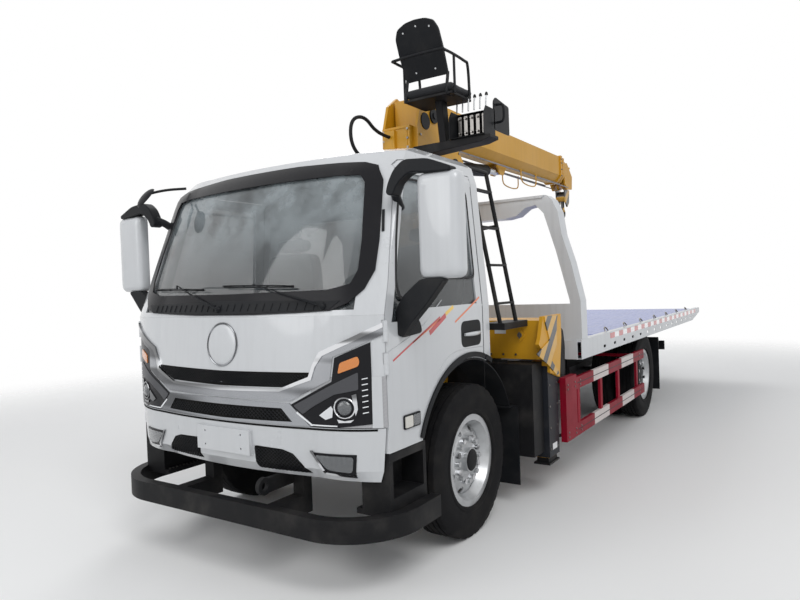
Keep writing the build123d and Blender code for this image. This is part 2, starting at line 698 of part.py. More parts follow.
def write_cab(save):
    """Hollow cab cut into its real panels, doors and glass."""
    outer = cab_solid(0)
    shell = outer - cab_solid(CAB_WALL, CAB_BOTTOM_Z - 60)
    shell -= wheel_arch(ARCH_R)
    body = shell
    far = 1400
    for s in (-1, 1):
        y0, y1 = (700, far) if s > 0 else (-far, -700)
        body -= grown_plate(DOOR_OUTLINE, MOVING_GAP, y0, y1)
    glass_cut = plate_yz(WINDSCREEN_OUTLINE, 500, 1300)
    half, z0, z1 = REAR_WINDOW
    rear_cut = block(CAB_BACK_X - 20, CAB_BACK_X + 120, -half, half, z0, z1)
    nose = block(DOOR_FRONT_X + MOVING_GAP, 1300, -far, far, 0, BELT_Z)
    lamp_zone = block(DOOR_FRONT_X + MOVING_GAP, 1300, LAMP_INNER_Y, far, 0, LAMP_TOP_Z)
    lamp_zone_grown = block(DOOR_FRONT_X, 1300, LAMP_INNER_Y - 0.4, far, 0, LAMP_TOP_Z + 0.4)
    rear_zone = block(CAB_BACK_X - 20, DOOR_REAR_X - MOVING_GAP, -far, far, 0, ROOF_Z - CAB_WALL)
    door_knuckle = hinge_knuckles(0, DOOR_HINGE_LENGTH, DOOR_HINGE_R)
    body_knuckle = hinge_knuckles(-DOOR_HINGE_LENGTH, -RUNNING_GAP, DOOR_HINGE_R)
    clear = 2
    door_clear = hinge_knuckles(-clear, DOOR_HINGE_LENGTH + clear, DOOR_HINGE_R + clear)
    body_clear = hinge_knuckles(-DOOR_HINGE_LENGTH - clear, clear / 4, DOOR_HINGE_R + clear)

    lower_grille = plate_yz([(-480, 884), (480, 884), (415, 973), (-415, 973)], 900, 1300)
    front = body & nose
    front -= [lamp_zone_grown, other_side(lamp_zone_grown), lower_grille]
    for piece in door_clear:
        front -= [piece, other_side(piece)]
    front = join([front] + body_knuckle + [other_side(piece) for piece in body_knuckle])
    front -= block(0, 1300, -far, far, 0, BUMPER_TOP_Z + MOVING_GAP)
    save("cab_front_panel", front)

    lamps = shell & lamp_zone
    lamps -= block(0, 1300, -far, far, 0, BUMPER_TOP_Z + MOVING_GAP)
    save("headlamps", Compound(both_sides(lamps)))

    back = body & rear_zone
    back -= [rear_cut, block(-400, 0, -far, far, 0, 1100)]
    save("cab_back_panel", back)

    roof = body - nose - rear_zone - glass_cut
    roof -= block(-400, 1300, -far, far, 0, BELT_Z + 0.4)
    roof -= block(-400, DOOR_REAR_X - MOVING_GAP + 0.4, -far, far, 0, ROOF_Z - CAB_WALL + 0.4)
    save("cab_roof", roof)

    pane = cab_solid(10) - cab_solid(16)
    windscreen = pane & plate_yz(WINDSCREEN_OUTLINE, 500, 1300)
    rear_glass = block(CAB_BACK_X + 10, CAB_BACK_X + 16, -half + 0.4, half - 0.4, z0 + 0.4, z1 - 0.4)
    save("cab_glass", Compound([windscreen, rear_glass]))

    door = (shell & plate_xz(DOOR_OUTLINE, 700, far)) - plate_xz(WINDOW_OUTLINE, 700, far)
    for piece in body_clear:
        door -= piece
    door = join([door] + door_knuckle)
    window = pane & plate_xz(WINDOW_OUTLINE, 700, far)
    save("door_left", door)
    save("door_right", other_side(door))
    save("door_glass_left", window)
    save("door_glass_right", other_side(window))


def tunnel_blocks(grow=0):
    """Wide footwell part and narrow rear part of the engine tunnel."""
    wide = RAIL_OUTER_Y + 34 + grow
    narrow = TUNNEL_HALF_WIDTH + grow
    return [
        block(ARCH_R - 210 - grow, TOEBOARD_X, -wide, wide, FOOTWELL_Z, CAB_FLOOR_Z + 24 + grow),
        block(CAB_BACK_X, TOEBOARD_X, -narrow, narrow, FOOTWELL_Z, TUNNEL_TOP_Z + grow),
    ]


def cab_floor():
    """Stepped floor with footwells, arch tops and the engine tunnel."""
    metal = 24
    inside = cab_solid(CAB_WALL + 0.4, CAB_BOTTOM_Z - 60)
    heel_x = ARCH_R + 8
    shelf_z = BUMPER_TOP_Z + 20
    outline = [
        (CAB_BACK_X, CAB_FLOOR_Z),
        (heel_x - 190, CAB_FLOOR_Z),
        (heel_x, FOOTWELL_Z + 90),
        (heel_x, FOOTWELL_Z),
        (TOEBOARD_X, FOOTWELL_Z),
        (TOEBOARD_X, shelf_z),
        (CAB_NOSE_X, shelf_z),
        (CAB_NOSE_X, shelf_z + metal),
        (TOEBOARD_X - metal, shelf_z + metal),
        (TOEBOARD_X - metal, FOOTWELL_Z + metal),
        (heel_x + metal, FOOTWELL_Z + metal),
        (heel_x + metal, FOOTWELL_Z + 100),
        (heel_x - 178, CAB_FLOOR_Z + metal),
        (CAB_BACK_X, CAB_FLOOR_Z + metal),
    ]
    floor = plate_xz(outline, -CAB_HALF_WIDTH, CAB_HALF_WIDTH)
    tunnel = join(tunnel_blocks())
    wide = RAIL_OUTER_Y + 34 - metal
    narrow = TUNNEL_HALF_WIDTH - metal
    hollow = block(ARCH_R - 210 + metal, TOEBOARD_X - metal, -wide, wide, 0, CAB_FLOOR_Z)
    hollow += block(CAB_BACK_X - 10, TOEBOARD_X - metal, -narrow, narrow, 0, TUNNEL_TOP_Z - metal)
    floor = (join([floor - tunnel, tunnel - hollow]) & inside) - wheel_arch(ARCH_R)
    door_swing = block(DOOR_SWING_X, CAB_NOSE_X, DASH_HALF_WIDTH, CAB_HALF_WIDTH, 0, CAB_FLOOR_Z)
    return floor - door_swing - other_side(door_swing)


DASH_HALF_WIDTH = 980
DOOR_SWING_X = 890


def cab_interior():
    """Two seats, a dashboard and the steering column."""
    floor_top = CAB_FLOOR_Z + 24
    pieces = []
    for y in (-SEAT_Y, SEAT_Y):
        base = block(-160, 200, y - 200, y + 200, floor_top + 0.3, floor_top + 150)
        cushion = block(-200, 270, y - 235, y + 235, floor_top + 150, floor_top + 270)
        back = plate_xz(
            [
                (-200, floor_top + 270),
                (-90, floor_top + 270),
                (-130, floor_top + 860),
                (-225, floor_top + 860),
            ],
            y - 225,
            y + 225,
        )
        rest = block(-222, -140, y - 130, y + 130, floor_top + 860, floor_top + 1030)
        pieces.append(join([base, cushion, back, rest]))
    inside = cab_solid(CAB_WALL + 0.4)
    dash = plate_xz([(1090, 1500), (640, 1500), (600, 1400), (640, 1180), (800, 1080), (1090, 1080)], -DASH_HALF_WIDTH, DASH_HALF_WIDTH)
    dash = dash & inside
    dash -= tunnel_blocks(0.4)
    column = rod((760, STEERING_Y, 1330), STEERING_HUB, 28)
    pieces.append(join([dash, column]))
    return Compound(pieces)


SEAT_Y = 630
STEERING_Y = SEAT_Y
STEERING_HUB = (500, STEERING_Y, 1500)


def steering_wheel():
    """Rim, three spokes and boss square to the column."""
    run = Vector(500 - 760, 0, 1500 - 1330).normalized()
    start = Vector(*STEERING_HUB) + run * 0.4
    place = Location(Plane(origin=start, x_dir=(0, 1, 0), z_dir=run))
    rim = Pos(0, 0, 30) * Torus(205, 15)
    boss = Cylinder(40, 44, align=(Align.CENTER, Align.CENTER, Align.MIN))
    spokes = []
    for angle in (0, 120, 240):
        spokes.append(Rot(0, 0, angle) * Pos(115, 0, 30) * Box(180, 30, 12))
    return place * join([rim, boss] + spokes)


def trim_band(points, depth):
    """Strip that lies on the nose skin inside an outline seen from the front."""
    return (cab_solid(-depth) - cab_solid(-0.3)) & plate_yz(points, 850, 1300)


def grille_trim():
    """Slatted grille, bright rising band, lower grille frame and round badge seat."""
    grille = trim_band([(-455, 1092), (455, 1092), (345, 1024), (-345, 1024)], 10)
    for i in range(4):
        z = 1034 + 14 * i
        grille -= plate_yz([(-400, z), (400, z), (400, z + 6), (-400, z + 6)], 850, 1300)
    band_points = [
        (-630, 1255),
        (-484, 1012),
        (484, 1012),
        (630, 1255),
        (600, 1255),
        (462, 1040),
        (-462, 1040),
        (-600, 1255),
    ]
    frame = plate_yz([(-500, 886), (500, 886), (432, 990), (-432, 990)], 850, 1300)
    frame -= plate_yz([(-470, 900), (470, 900), (412, 976), (-412, 976)], 850, 1300)
    skin = cab_solid(-16) - cab_solid(-0.3)
    slats = skin & (
        plate_yz([(-470, 915), (470, 915), (466, 921), (-466, 921)], 850, 1300)
        + plate_yz([(-440, 950), (440, 950), (436, 956), (-436, 956)], 850, 1300)
    )
    lower = join([skin & frame, slats])
    badge = skin & rod((900, 0, 1314), (1300, 0, 1314), 130)
    band = trim_band(band_points, 16)
    return Compound([band, lower, badge])


def upper_grille():
    """Black slatted panel between the bright band and the cowl."""
    grille = trim_band([(-430, 1098), (430, 1098), (380, 1044), (-380, 1044)], 10)
    for i in range(3):
        z = 1054 + 14 * i
        grille -= plate_yz([(-360, z), (360, z), (360, z + 6), (-360, z + 6)], 850, 1300)
    return grille


def front_bumper():
    """Bumper shell with lamp pockets, intakes and the plate panel."""
    sections = [
        (BUMPER_BOTTOM_Z, CAB_NOSE_X - 66, BUMPER_HALF_WIDTH - 20),
        (BUMPER_BOTTOM_Z + 60, CAB_NOSE_X - 20, BUMPER_HALF_WIDTH),
        (BUMPER_TOP_Z, CAB_NOSE_X, BUMPER_HALF_WIDTH + 24),
    ]
    wall = 50

    def solid(inset):
        faces = [cab_plan(front - inset, half - inset, CORNER_X, 300, z) for z, front, half in sections]
        return loft(faces, ruled=True)

    shell = solid(0) - solid(wall)
    shell -= block(0, DOOR_FRONT_X + 10, -1300, 1300, 0, 2000)
    for s in (-1, 1):
        intake = [(s * 235, 750), (s * 430, 745), (s * 500, 725), (s * 600, 618), (s * 235, 618)]
        fog = [(s * 622, 743), (s * 878, 742), (s * 865, 633), (s * 702, 645)]
        shell -= plate_yz(intake, 900, 1300)
        shell -= plate_yz(fog, 900, 1300)
    panel_x = CAB_NOSE_X - 30
    half = PLATE_WIDTH / 2
    panel = block(panel_x, CAB_NOSE_X + 6, -half, half, PLATE_Z - PLATE_HEIGHT / 2, PLATE_Z + PLATE_HEIGHT / 2)
    arms = [block(DOOR_FRONT_X + 0.3, panel_x - 40, y0, y1, 650, 760) for y0, y1 in stay_sides()]
    shell = join([shell, panel] + arms)
    for y in (-PLATE_HOLE_SPACING_Y / 2, PLATE_HOLE_SPACING_Y / 2):
        for z in (PLATE_Z - PLATE_HOLE_SPACING_Z / 2, PLATE_Z + PLATE_HOLE_SPACING_Z / 2):
            shell -= rod((900, y, z), (1300, y, z), PLATE_HOLE_R)
    return shell


def stay_sides():
    """Inner and outer faces of the two stays in line with the rails."""
    return [sorted((s * (RAIL_OUTER_Y - 8), s * (RAIL_OUTER_Y - 88))) for s in (-1, 1)]


def underrun_bar():
    """Bowed bar under the bumper that ends at the door steps."""
    top = UNDERRUN_BOTTOM_Z + UNDERRUN_HEIGHT
    rear_x = 560
    half = UNDERRUN_HALF_WIDTH
    length = FRONT_OVERHANG - rear_x + 400
    centre_x = FRONT_OVERHANG - length / 2

    def plan(inset):
        outline = RectangleRounded(length - 2 * inset, 2 * (half - inset), UNDERRUN_CORNER_R - inset)
        return Pos(centre_x, 0, UNDERRUN_BOTTOM_Z) * outline

    ring = extrude(plan(0), UNDERRUN_HEIGHT) - extrude(plan(UNDERRUN_METAL), UNDERRUN_HEIGHT)
    wall = 6
    core = extrude(plan(wall), UNDERRUN_HEIGHT - 2 * wall) - extrude(plan(UNDERRUN_METAL - wall), UNDERRUN_HEIGHT - 2 * wall)
    ring -= Pos(0, 0, wall) * core
    ring -= block(0, rear_x, -1300, 1300, 0, top + 10)
    stays = []
    for y0, y1 in stay_sides():
        stays.append(block(RAIL_FRONT_X + 0.3, DOOR_FRONT_X, y0, y1, UNDERRUN_BOTTOM_Z + 10, RAIL_TOP_Z - 50))
        stays.append(block(DOOR_FRONT_X - 1, FRONT_OVERHANG - 40, y0, y1, UNDERRUN_BOTTOM_Z + 10, top))
    steps = []
    for s in (-1, 1):
        y0, y1 = sorted((s * 800, s * (half - UNDERRUN_METAL + 2)))
        steps.append(block(rear_x, DOOR_FRONT_X, y0, y1, top - 40, top - 10))
        y0, y1 = sorted((s * 840, s * (CAB_HALF_WIDTH - 4)))
        riser = block(rear_x + 10, DOOR_FRONT_X, y0, y1, top - 20, CAB_BOTTOM_Z - MOVING_GAP)
        pocket_y = sorted((s * 880, s * CAB_HALF_WIDTH))
        riser -= block(rear_x + 40, DOOR_FRONT_X - 30, pocket_y[0], pocket_y[1], top + 60, CAB_BOTTOM_Z - 50)
        steps.append(riser)
        y0, y1 = sorted((s * (RAIL_OUTER_Y + 0.3), s * 850))
        steps.append(block(780, 840, y0, y1, 640, 700))
    return join([ring] + stays + steps)


def tow_eye():
    """Front recovery eye on the inner face of the left stay."""
    face_y = stay_sides()[1][0] - 0.3
    back_y = face_y - TOW_EYE_METAL
    x = FRONT_OVERHANG - UNDERRUN_METAL + 10
    z = BUMPER_BOTTOM_Z - TOW_EYE_R - MOVING_GAP
    shank = block(RAIL_FRONT_X + 20, x, back_y, face_y, z - 40, z + 40)
    body = join([shank, rod((x, back_y, z), (x, face_y, z), TOW_EYE_R)])
    return body - rod((x, back_y - 10, z), (x, face_y + 10, z), TOW_EYE_BORE_R)


def mirror_set():
    """Left mirror heads on the two arms that stand out from the door."""
    face_x = 740
    deep = 85
    head = block(face_x, face_x + deep, 1168, 1425, 1642, 2195)
    head = fillet(head.edges().filter_by(Axis.X), 40)
    for z0, z1 in ((1672, 1990), (2012, 2168)):
        head -= block(face_x - 1, face_x + 8, 1192, 1401, z0, z1)
    upper = plate_yz(
        [(965, 2110), (1030, 2195), (1105, 2285), (1250, 2265), (1392, 2200), (1380, 2172), (1135, 2222), (1040, 2130)],
        face_x + 10,
        face_x + deep - 5,
    )
    lower = plate_yz(
        [(1175, 1655), (1065, 1560), (985, 1445), (985, 1345), (1060, 1330), (1100, 1400), (1215, 1525), (1330, 1655)],
        face_x + 12,
        face_x + deep - 12,
    )
    body = join([head, upper, lower])
    return body - cab_solid(-0.3)


# Crane


def crane_column(grow=0):
    """Four-sided column that narrows upwards, its sides moved out by a gap."""
    foot_side = 460 + 2 * grow
    head_side = 340 + 2 * grow
    foot = Pos(CRANE_X, 0, HOUSING_TOP_Z + 59) * Rectangle(foot_side, foot_side)
    head = Pos(CRANE_X, 0, COLUMN_TOP_Z - 50) * Rectangle(head_side, head_side)
    return loft([foot, head], ruled=True)


def crane_base():
    """Outrigger housing with two beam tunnels, rail brackets and the column."""
    m = HOUSING_METAL
    half = HOUSING_HALF_WIDTH
    housing = block(HOUSING_REAR_X, HOUSING_FRONT_X, -half, half, HOUSING_BOTTOM_Z, HOUSING_TOP_Z)
    for x0, x1 in beam_tunnels():
        housing -= block(x0, x1, -half - 1, half + 1, HOUSING_BOTTOM_Z + m, HOUSING_TOP_Z - m)
    rear = HOUSING_REAR_X - 95
    front = HOUSING_FRONT_X + 95
    bracket = block(rear, front, RAIL_OUTER_Y - 80, RAIL_OUTER_Y + 8, RAIL_TOP_Z + 0.3, HOUSING_BOTTOM_Z + 1)
    saddle = block(rear, front, -330, 330, HOUSING_TOP_Z - 1, HOUSING_TOP_Z + 60)
    column = crane_column() - crane_column(-COLUMN_METAL)
    ring = rod((CRANE_X, 0, COLUMN_TOP_Z - 51), (CRANE_X, 0, COLUMN_TOP_Z), 255)
    ribs = []
    for s in (-1, 1):
        ribs.append(
            plate_yz(
                [(s * 200, HOUSING_TOP_Z + 59), (s * 325, HOUSING_TOP_Z + 59), (s * 200, HOUSING_TOP_Z + 420)],
                CRANE_X - 12,
                CRANE_X + 12,
            )
        )
    return join([housing, saddle, column, ring] + both_sides(bracket) + ribs)


def beam_tunnels():
    """Front and rear edges of the two beam tunnels."""
    m = HOUSING_METAL
    middle = (HOUSING_FRONT_X + HOUSING_REAR_X) / 2
    return [(middle + m / 2, HOUSING_FRONT_X - m), (HOUSING_REAR_X + m, middle - m / 2)]


def outrigger_beam(tunnel):
    """Left-hand beam with its striped yoke and the jack's outer leg."""
    x0, x1 = tunnel
    m = HOUSING_METAL
    z0 = HOUSING_BOTTOM_Z + m + BEAM_CLEARANCE
    z1 = HOUSING_TOP_Z - m - BEAM_CLEARANCE
    beam = block(x0 + BEAM_CLEARANCE, x1 - BEAM_CLEARANCE, -1000, HOUSING_HALF_WIDTH + 10, z0, z1)
    wall = BEAM_CLEARANCE + 8
    beam -= block(x0 + wall, x1 - wall, -1001, HOUSING_HALF_WIDTH, z0 + 8, z1 - 8)
    plate_y = HOUSING_HALF_WIDTH + MOVING_GAP
    yoke = plate_xz(
        [(-790, 1360), (-1160, 1360), (-1160, 1180), (-1100, 880), (-900, 940), (-900, 1010), (-690, 1165), (-720, 1200)],
        plate_y,
        YOKE_OUTER_Y,
    )
    leg_x0 = LEG_X - LEG_LENGTH_X / 2
    leg_x1 = LEG_X + LEG_LENGTH_X / 2
    leg_y0 = LEG_OUTER_Y - LEG_WIDTH_Y
    leg = block(leg_x0, leg_x1, leg_y0, LEG_OUTER_Y, LEG_BOTTOM_Z, LEG_TOP_Z)
    bore = block(
        leg_x0 + LEG_METAL,
        leg_x1 - LEG_METAL,
        leg_y0 + LEG_METAL,
        LEG_OUTER_Y - LEG_METAL,
        LEG_BOTTOM_Z - 1,
        LEG_TOP_Z - LEG_METAL,
    )
    return join([beam, yoke, leg - bore])


def outrigger_jack():
    """Left-hand inner leg and foot plate."""
    play = LEG_METAL + JACK_CLEARANCE
    x0 = LEG_X - LEG_LENGTH_X / 2
    x1 = LEG_X + LEG_LENGTH_X / 2
    y0 = LEG_OUTER_Y - LEG_WIDTH_Y
    leg = block(x0 + play, x1 - play, y0 + play, LEG_OUTER_Y - play, FOOT_Z + 10, LEG_TOP_Z - 40)
    foot = block(x0 - 5, x1 + 5, y0 - 5, LEG_OUTER_Y, FOOT_Z, FOOT_Z + 14)
    return join([leg, foot])


def access_ladder():
    """Leaning ladder on the housing's left end."""
    foot_y = 1050
    top_y = 850
    foot_z = HOUSING_TOP_Z + 0.3
    top_z = COLUMN_TOP_Z - 60
    x0 = -700
    x1 = -430
    lean = (top_y - foot_y) / (top_z - foot_z)
    pieces = []
    for x in (x0, x1):
        pieces.append(rod((x, foot_y, foot_z), (x, top_y, top_z), 15))
    for i in range(4):
        z = foot_z + 140 + 270 * i
        y = foot_y + lean * (z - foot_z)
        pieces.append(block(x0, x1, y - 18, y + 18, z - 8, z + 8))
    pieces.append(rod((x0, top_y, top_z), (x1, top_y, top_z), 15))
    pieces.append(block(HOUSING_FRONT_X + 0.3, x1 + 40, foot_y - 110, foot_y + 50, foot_z - 40, foot_z + 6))
    stay_z = foot_z + 700
    stay_y = foot_y + lean * 700
    pieces.append(rod((x0, stay_y, stay_z), (CRANE_X + 170, 200, stay_z - 60), 12))
    body = join(pieces)
    return body - crane_column(0.6)


TURRET_FRONT_X = -800
TURRET_REAR_X = -1670
FRONT_BOX_HALF = 133
FRONT_BOX_TOP_Z = 2930
MANIFOLD_X = TURRET_FRONT_X + 26
HOSE_R = 14
HOSE_Y = -50


def crane_turret():
    """Slewing ring, base plate, two cheek plates, hoist drum and pins."""
    z0 = COLUMN_TOP_Z + TURRET_GAP
    ring = rod((CRANE_X, 0, z0), (CRANE_X, 0, z0 + 60), 250)
    deck = block(TURRET_REAR_X, TURRET_FRONT_X, -190, 190, z0 + 58, z0 + 84)
    cheek_x = TURRET_FRONT_X - 60
    cheek = plate_xz(
        [
            (cheek_x, z0 + 80),
            (TURRET_REAR_X, z0 + 80),
            (TURRET_REAR_X + 30, 2740),
            (BOOM_HINGE_X - 280, 3000),
            (BOOM_HINGE_X - 140, 3190),
            (BOOM_HINGE_X + 50, 3250),
            (cheek_x - 70, 3150),
            (cheek_x, FRONT_BOX_TOP_Z),
        ],
        TURRET_HALF_WIDTH - TURRET_METAL,
        TURRET_HALF_WIDTH,
    )
    low = z0 + 70
    front_box = block(cheek_x - 10, TURRET_FRONT_X, -FRONT_BOX_HALF, FRONT_BOX_HALF, low, FRONT_BOX_TOP_Z)
    front_box += block(cheek_x - 10, cheek_x + 2, -160, 160, low, FRONT_BOX_TOP_Z)
    inside = FRONT_BOX_HALF - 12
    front_box -= block(cheek_x - 11, TURRET_FRONT_X - 12, -inside, inside, z0 + 60, FRONT_BOX_TOP_Z - 12)
    inner = TURRET_HALF_WIDTH - 2
    pieces = [ring, deck, front_box] + both_sides(cheek)
    pieces.append(rod((BOOM_HINGE_X, -inner, BOOM_HINGE_Z), (BOOM_HINGE_X, inner, BOOM_HINGE_Z), PIN_R))
    pieces.append(rod((LUFF_PIVOT_X, -inner, LUFF_PIVOT_Z), (LUFF_PIVOT_X, inner, LUFF_PIVOT_Z), PIN_R))
    drum_x = TURRET_FRONT_X - 125
    drum_z = 2720
    pieces.append(rod((drum_x, -inner, drum_z), (drum_x, inner, drum_z), 62))
    for y in (-120, 108):
        pieces.append(rod((drum_x, y, drum_z), (drum_x, y + 12, drum_z), 105))
    pieces.append(block(TURRET_FRONT_X - 2, MANIFOLD_X, HOSE_Y - 50, HOSE_Y + 50, 2600, 2900))
    return join(pieces)


def crane_hoses():
    """Sleeved hose bundle that loops forwards from the manifold and back."""
    face_x = MANIFOLD_X + RUNNING_GAP
    start = (face_x, 2850)
    end = (face_x, 2640)
    loop = [(-600, 2850), (-440, 2960), (-260, 2900), (-250, 2700), (-420, 2600), (-600, 2640)]
    route = [start] + loop + [end]
    points = [Vector(x, HOSE_Y, z) for x, z in route]
    radii = []
    for before, corner, after in zip(points, points[1:], points[2:]):
        turn = (corner - before).get_angle(after - corner) * pi / 180
        shorter = min((corner - before).length, (after - corner).length)
        radii.append(0.45 * shorter / tan(turn / 2))
    path = FilletPolyline(*points, radius=radii)
    section = Plane(origin=path @ 0, z_dir=path % 0) * Circle(HOSE_R)
    return sweep(section, path=path)


def operator_station():
    """Seat, footplate, lever block and guard rails on the turret's left side."""
    y0 = TURRET_HALF_WIDTH + 0.3
    bracket = block(-930, -780, y0, 860, 2690, 2740)
    post = block(-870, -780, 400, 500, 2738, 3050)
    pan = block(-930, -600, 200, 655, 3040, 3110)
    back = plate_xz([(-655, 3205), (-625, 3190), (-440, 3590), (-475, 3605)], 220, 610)
    levers = block(-960, -760, 520, 820, 2738, 2960)
    side_plate = block(-1230, -940, 812, 822, 2800, 3060)
    rails = []
    for y in (235, 595):
        rails.append(rod((-640, y, 3100), (-632, y, 3215), 14))
    for y in (206, 649):
        rails.append(rod((-470, y, 3330), (-860, y, 3330), 11))
        rails.append(rod((-860, y, 3342), (-880, y, 3060), 12))
        rails.append(rod((-640, y, 3060), (-640, y, 3342), 12))
    rails.append(rod((-470, 194, 3330), (-470, 661, 3330), 12))
    return join([bracket, post, pan, back, levers, side_plate] + rails)


def boom_profile(inset):
    """Six-sided boom cut, drawn in by an inset."""
    k = 0.55 * inset
    return [
        (-BOOM_HALF_WIDTH + inset, BOOM_TOP_Z - inset),
        (BOOM_HALF_WIDTH - inset, BOOM_TOP_Z - inset),
        (BOOM_HALF_WIDTH - inset, BOOM_SHOULDER_Z + k),
        (BOOM_KEEL_HALF_WIDTH - k, BOOM_BOTTOM_Z + inset),
        (-BOOM_KEEL_HALF_WIDTH + k, BOOM_BOTTOM_Z + inset),
        (-BOOM_HALF_WIDTH + inset, BOOM_SHOULDER_Z + k),
    ]


def boom_tube(inset, x_root, x_end):
    """One boom section, open at its outer end and closed at its root."""
    outer = plate_yz(boom_profile(inset), x_end, x_root)
    inner = plate_yz(boom_profile(inset + BOOM_METAL), x_end - 1, x_root - 30)
    return outer - inner


def boom_base():
    """Outer boom section with its hinge boss and the cylinder's ears."""
    tube = boom_tube(0, BOOM_ROOT_X, BOOM_BASE_END_X)
    reach = TURRET_HALF_WIDTH - TURRET_METAL - 1
    boss = rod((BOOM_HINGE_X, -reach, BOOM_HINGE_Z), (BOOM_HINGE_X, reach, BOOM_HINGE_Z), 60)
    collar = plate_yz(boom_profile(-14), BOOM_BASE_END_X, BOOM_BASE_END_X + 60)
    collar -= plate_yz(boom_profile(2), BOOM_BASE_END_X - 1, BOOM_BASE_END_X + 61)
    ear_outline = [
        (LUFF_EYE_X - 130, BOOM_BOTTOM_Z + 4),
        (LUFF_EYE_X + 130, BOOM_BOTTOM_Z + 4),
        (LUFF_EYE_X + 45, LUFF_EYE_Z - 45),
        (LUFF_EYE_X - 45, LUFF_EYE_Z - 45),
    ]
    ear = plate_xz(ear_outline, 40, 58)
    body = join([tube, boss, collar] + both_sides(ear))
    return body - rod((BOOM_HINGE_X, -200, BOOM_HINGE_Z), (BOOM_HINGE_X, 200, BOOM_HINGE_Z), PIN_R + RUNNING_GAP)


def wear_pad(root_x, nest):
    """Pad under a section's root that slides on the section round it."""
    low = BOOM_BOTTOM_Z + nest - BOOM_NEST + BOOM_METAL + RUNNING_GAP
    return block(root_x - 120, root_x - 10, -40, 40, low, BOOM_BOTTOM_Z + nest + 1)


def boom_mid():
    """Middle boom section with its collar."""
    end_x = BOOM_BASE_END_X - BOOM_STEP
    root_x = BOOM_HINGE_X - 120
    tube = boom_tube(BOOM_NEST, root_x, end_x) + wear_pad(root_x, BOOM_NEST)
    collar = plate_yz(boom_profile(0), end_x, end_x + 50)
    collar -= plate_yz(boom_profile(BOOM_NEST + 2), end_x - 1, end_x + 51)
    return join([tube, collar])


def boom_tip():
    """Inner boom section with the head plates, sheaves and the stowed hook block."""
    nest = 2 * BOOM_NEST
    end_x = BOOM_BASE_END_X - 2 * BOOM_STEP
    root_x = BOOM_HINGE_X - 200
    tube = boom_tube(nest, root_x, end_x) + wear_pad(root_x, nest)
    head_x = end_x - 250
    cheek = plate_xz(
        [
            (end_x + 20, BOOM_TOP_Z - nest - 14),
            (end_x + 20, BOOM_BOTTOM_Z + 10),
            (end_x - 60, BOOM_BOTTOM_Z - 60),
            (head_x, BOOM_BOTTOM_Z - 40),
            (head_x - 20, BOOM_TOP_Z - 190),
            (end_x - 80, BOOM_TOP_Z - nest),
        ],
        84,
        BOOM_HALF_WIDTH - nest,
    )
    pin_z = BOOM_BOTTOM_Z + 40
    pins = [rod((end_x - 150, -100, z), (end_x - 150, 100, z), 18) for z in (pin_z, BOOM_TOP_Z - 130)]
    sheaves = []
    for z in (pin_z, BOOM_TOP_Z - 130):
        for y in (-34, 34):
            sheaves.append(rod((end_x - 150, y - 14, z), (end_x - 150, y + 14, z), 88))
    stop = block(head_x + 20, end_x + 10, -90, 90, BOOM_TOP_Z - nest - 60, BOOM_TOP_Z - nest - 40)
    return join([tube, stop] + both_sides(cheek) + pins + sheaves)


HOOK_X = BOOM_BASE_END_X - 2 * BOOM_STEP - 160


def hook_block():
    """Hook block pulled up under the boom head."""
    top = BOOM_BOTTOM_Z - 47.5
    cheek = plate_xz(
        [
            (HOOK_X - 90, top),
            (HOOK_X + 90, top),
            (HOOK_X + 70, top - 170),
            (HOOK_X, top - 230),
            (HOOK_X - 70, top - 170),
        ],
        50,
        66,
    )
    sheave = rod((HOOK_X, -66, top - 90), (HOOK_X, 66, top - 90), 70)
    shank = rod((HOOK_X, 0, top - 150), (HOOK_X, 0, top - 260), 22)
    ring = Pos(HOOK_X, 0, top - 310) * Rot(90, 0, 0) * Torus(52, 17)
    return join([sheave, shank, ring] + both_sides(cheek))


LUFF_RUN = Vector(LUFF_EYE_X - LUFF_PIVOT_X, 0, LUFF_EYE_Z - LUFF_PIVOT_Z)


def along(start, run, distance):
    """Point at a distance along a line."""
    unit = run.normalized()
    return (start[0] + unit.X * distance, start[1], start[2] + unit.Z * distance)


def luff_barrel():
    """Luffing cylinder barrel with its base eye."""
    start = (LUFF_PIVOT_X, 0, LUFF_PIVOT_Z)
    cap = rod(along(start, LUFF_RUN, 40), along(start, LUFF_RUN, 131), LUFF_BARREL_R)
    bore = LUFF_ROD_R + RUNNING_GAP
    tube = pipe(along(start, LUFF_RUN, 130), along(start, LUFF_RUN, 990), LUFF_BARREL_R, bore)
    eye = rod((LUFF_PIVOT_X, -56, LUFF_PIVOT_Z), (LUFF_PIVOT_X, 56, LUFF_PIVOT_Z), 52)
    pin = rod((LUFF_PIVOT_X, -80, LUFF_PIVOT_Z), (LUFF_PIVOT_X, 80, LUFF_PIVOT_Z), PIN_R + RUNNING_GAP)
    return join([cap, tube, eye]) - pin


def luff_rod():
    """Luffing cylinder rod and its eye, which lies between the boom's ears."""
    start = (LUFF_PIVOT_X, 0, LUFF_PIVOT_Z)
    rod_body = rod(along(start, LUFF_RUN, 150), along(start, LUFF_RUN, LUFF_RUN.length - 20), LUFF_ROD_R)
    eye = rod((LUFF_EYE_X, -39.6, LUFF_EYE_Z), (LUFF_EYE_X, 39.6, LUFF_EYE_Z), 42)
    eye -= rod((LUFF_EYE_X, -50, LUFF_EYE_Z), (LUFF_EYE_X, 50, LUFF_EYE_Z), 18)
    cut = rod((LUFF_EYE_X, -50, LUFF_EYE_Z), (LUFF_EYE_X, 50, LUFF_EYE_Z), 41)
    return join([rod_body - cut, eye])


# Bed


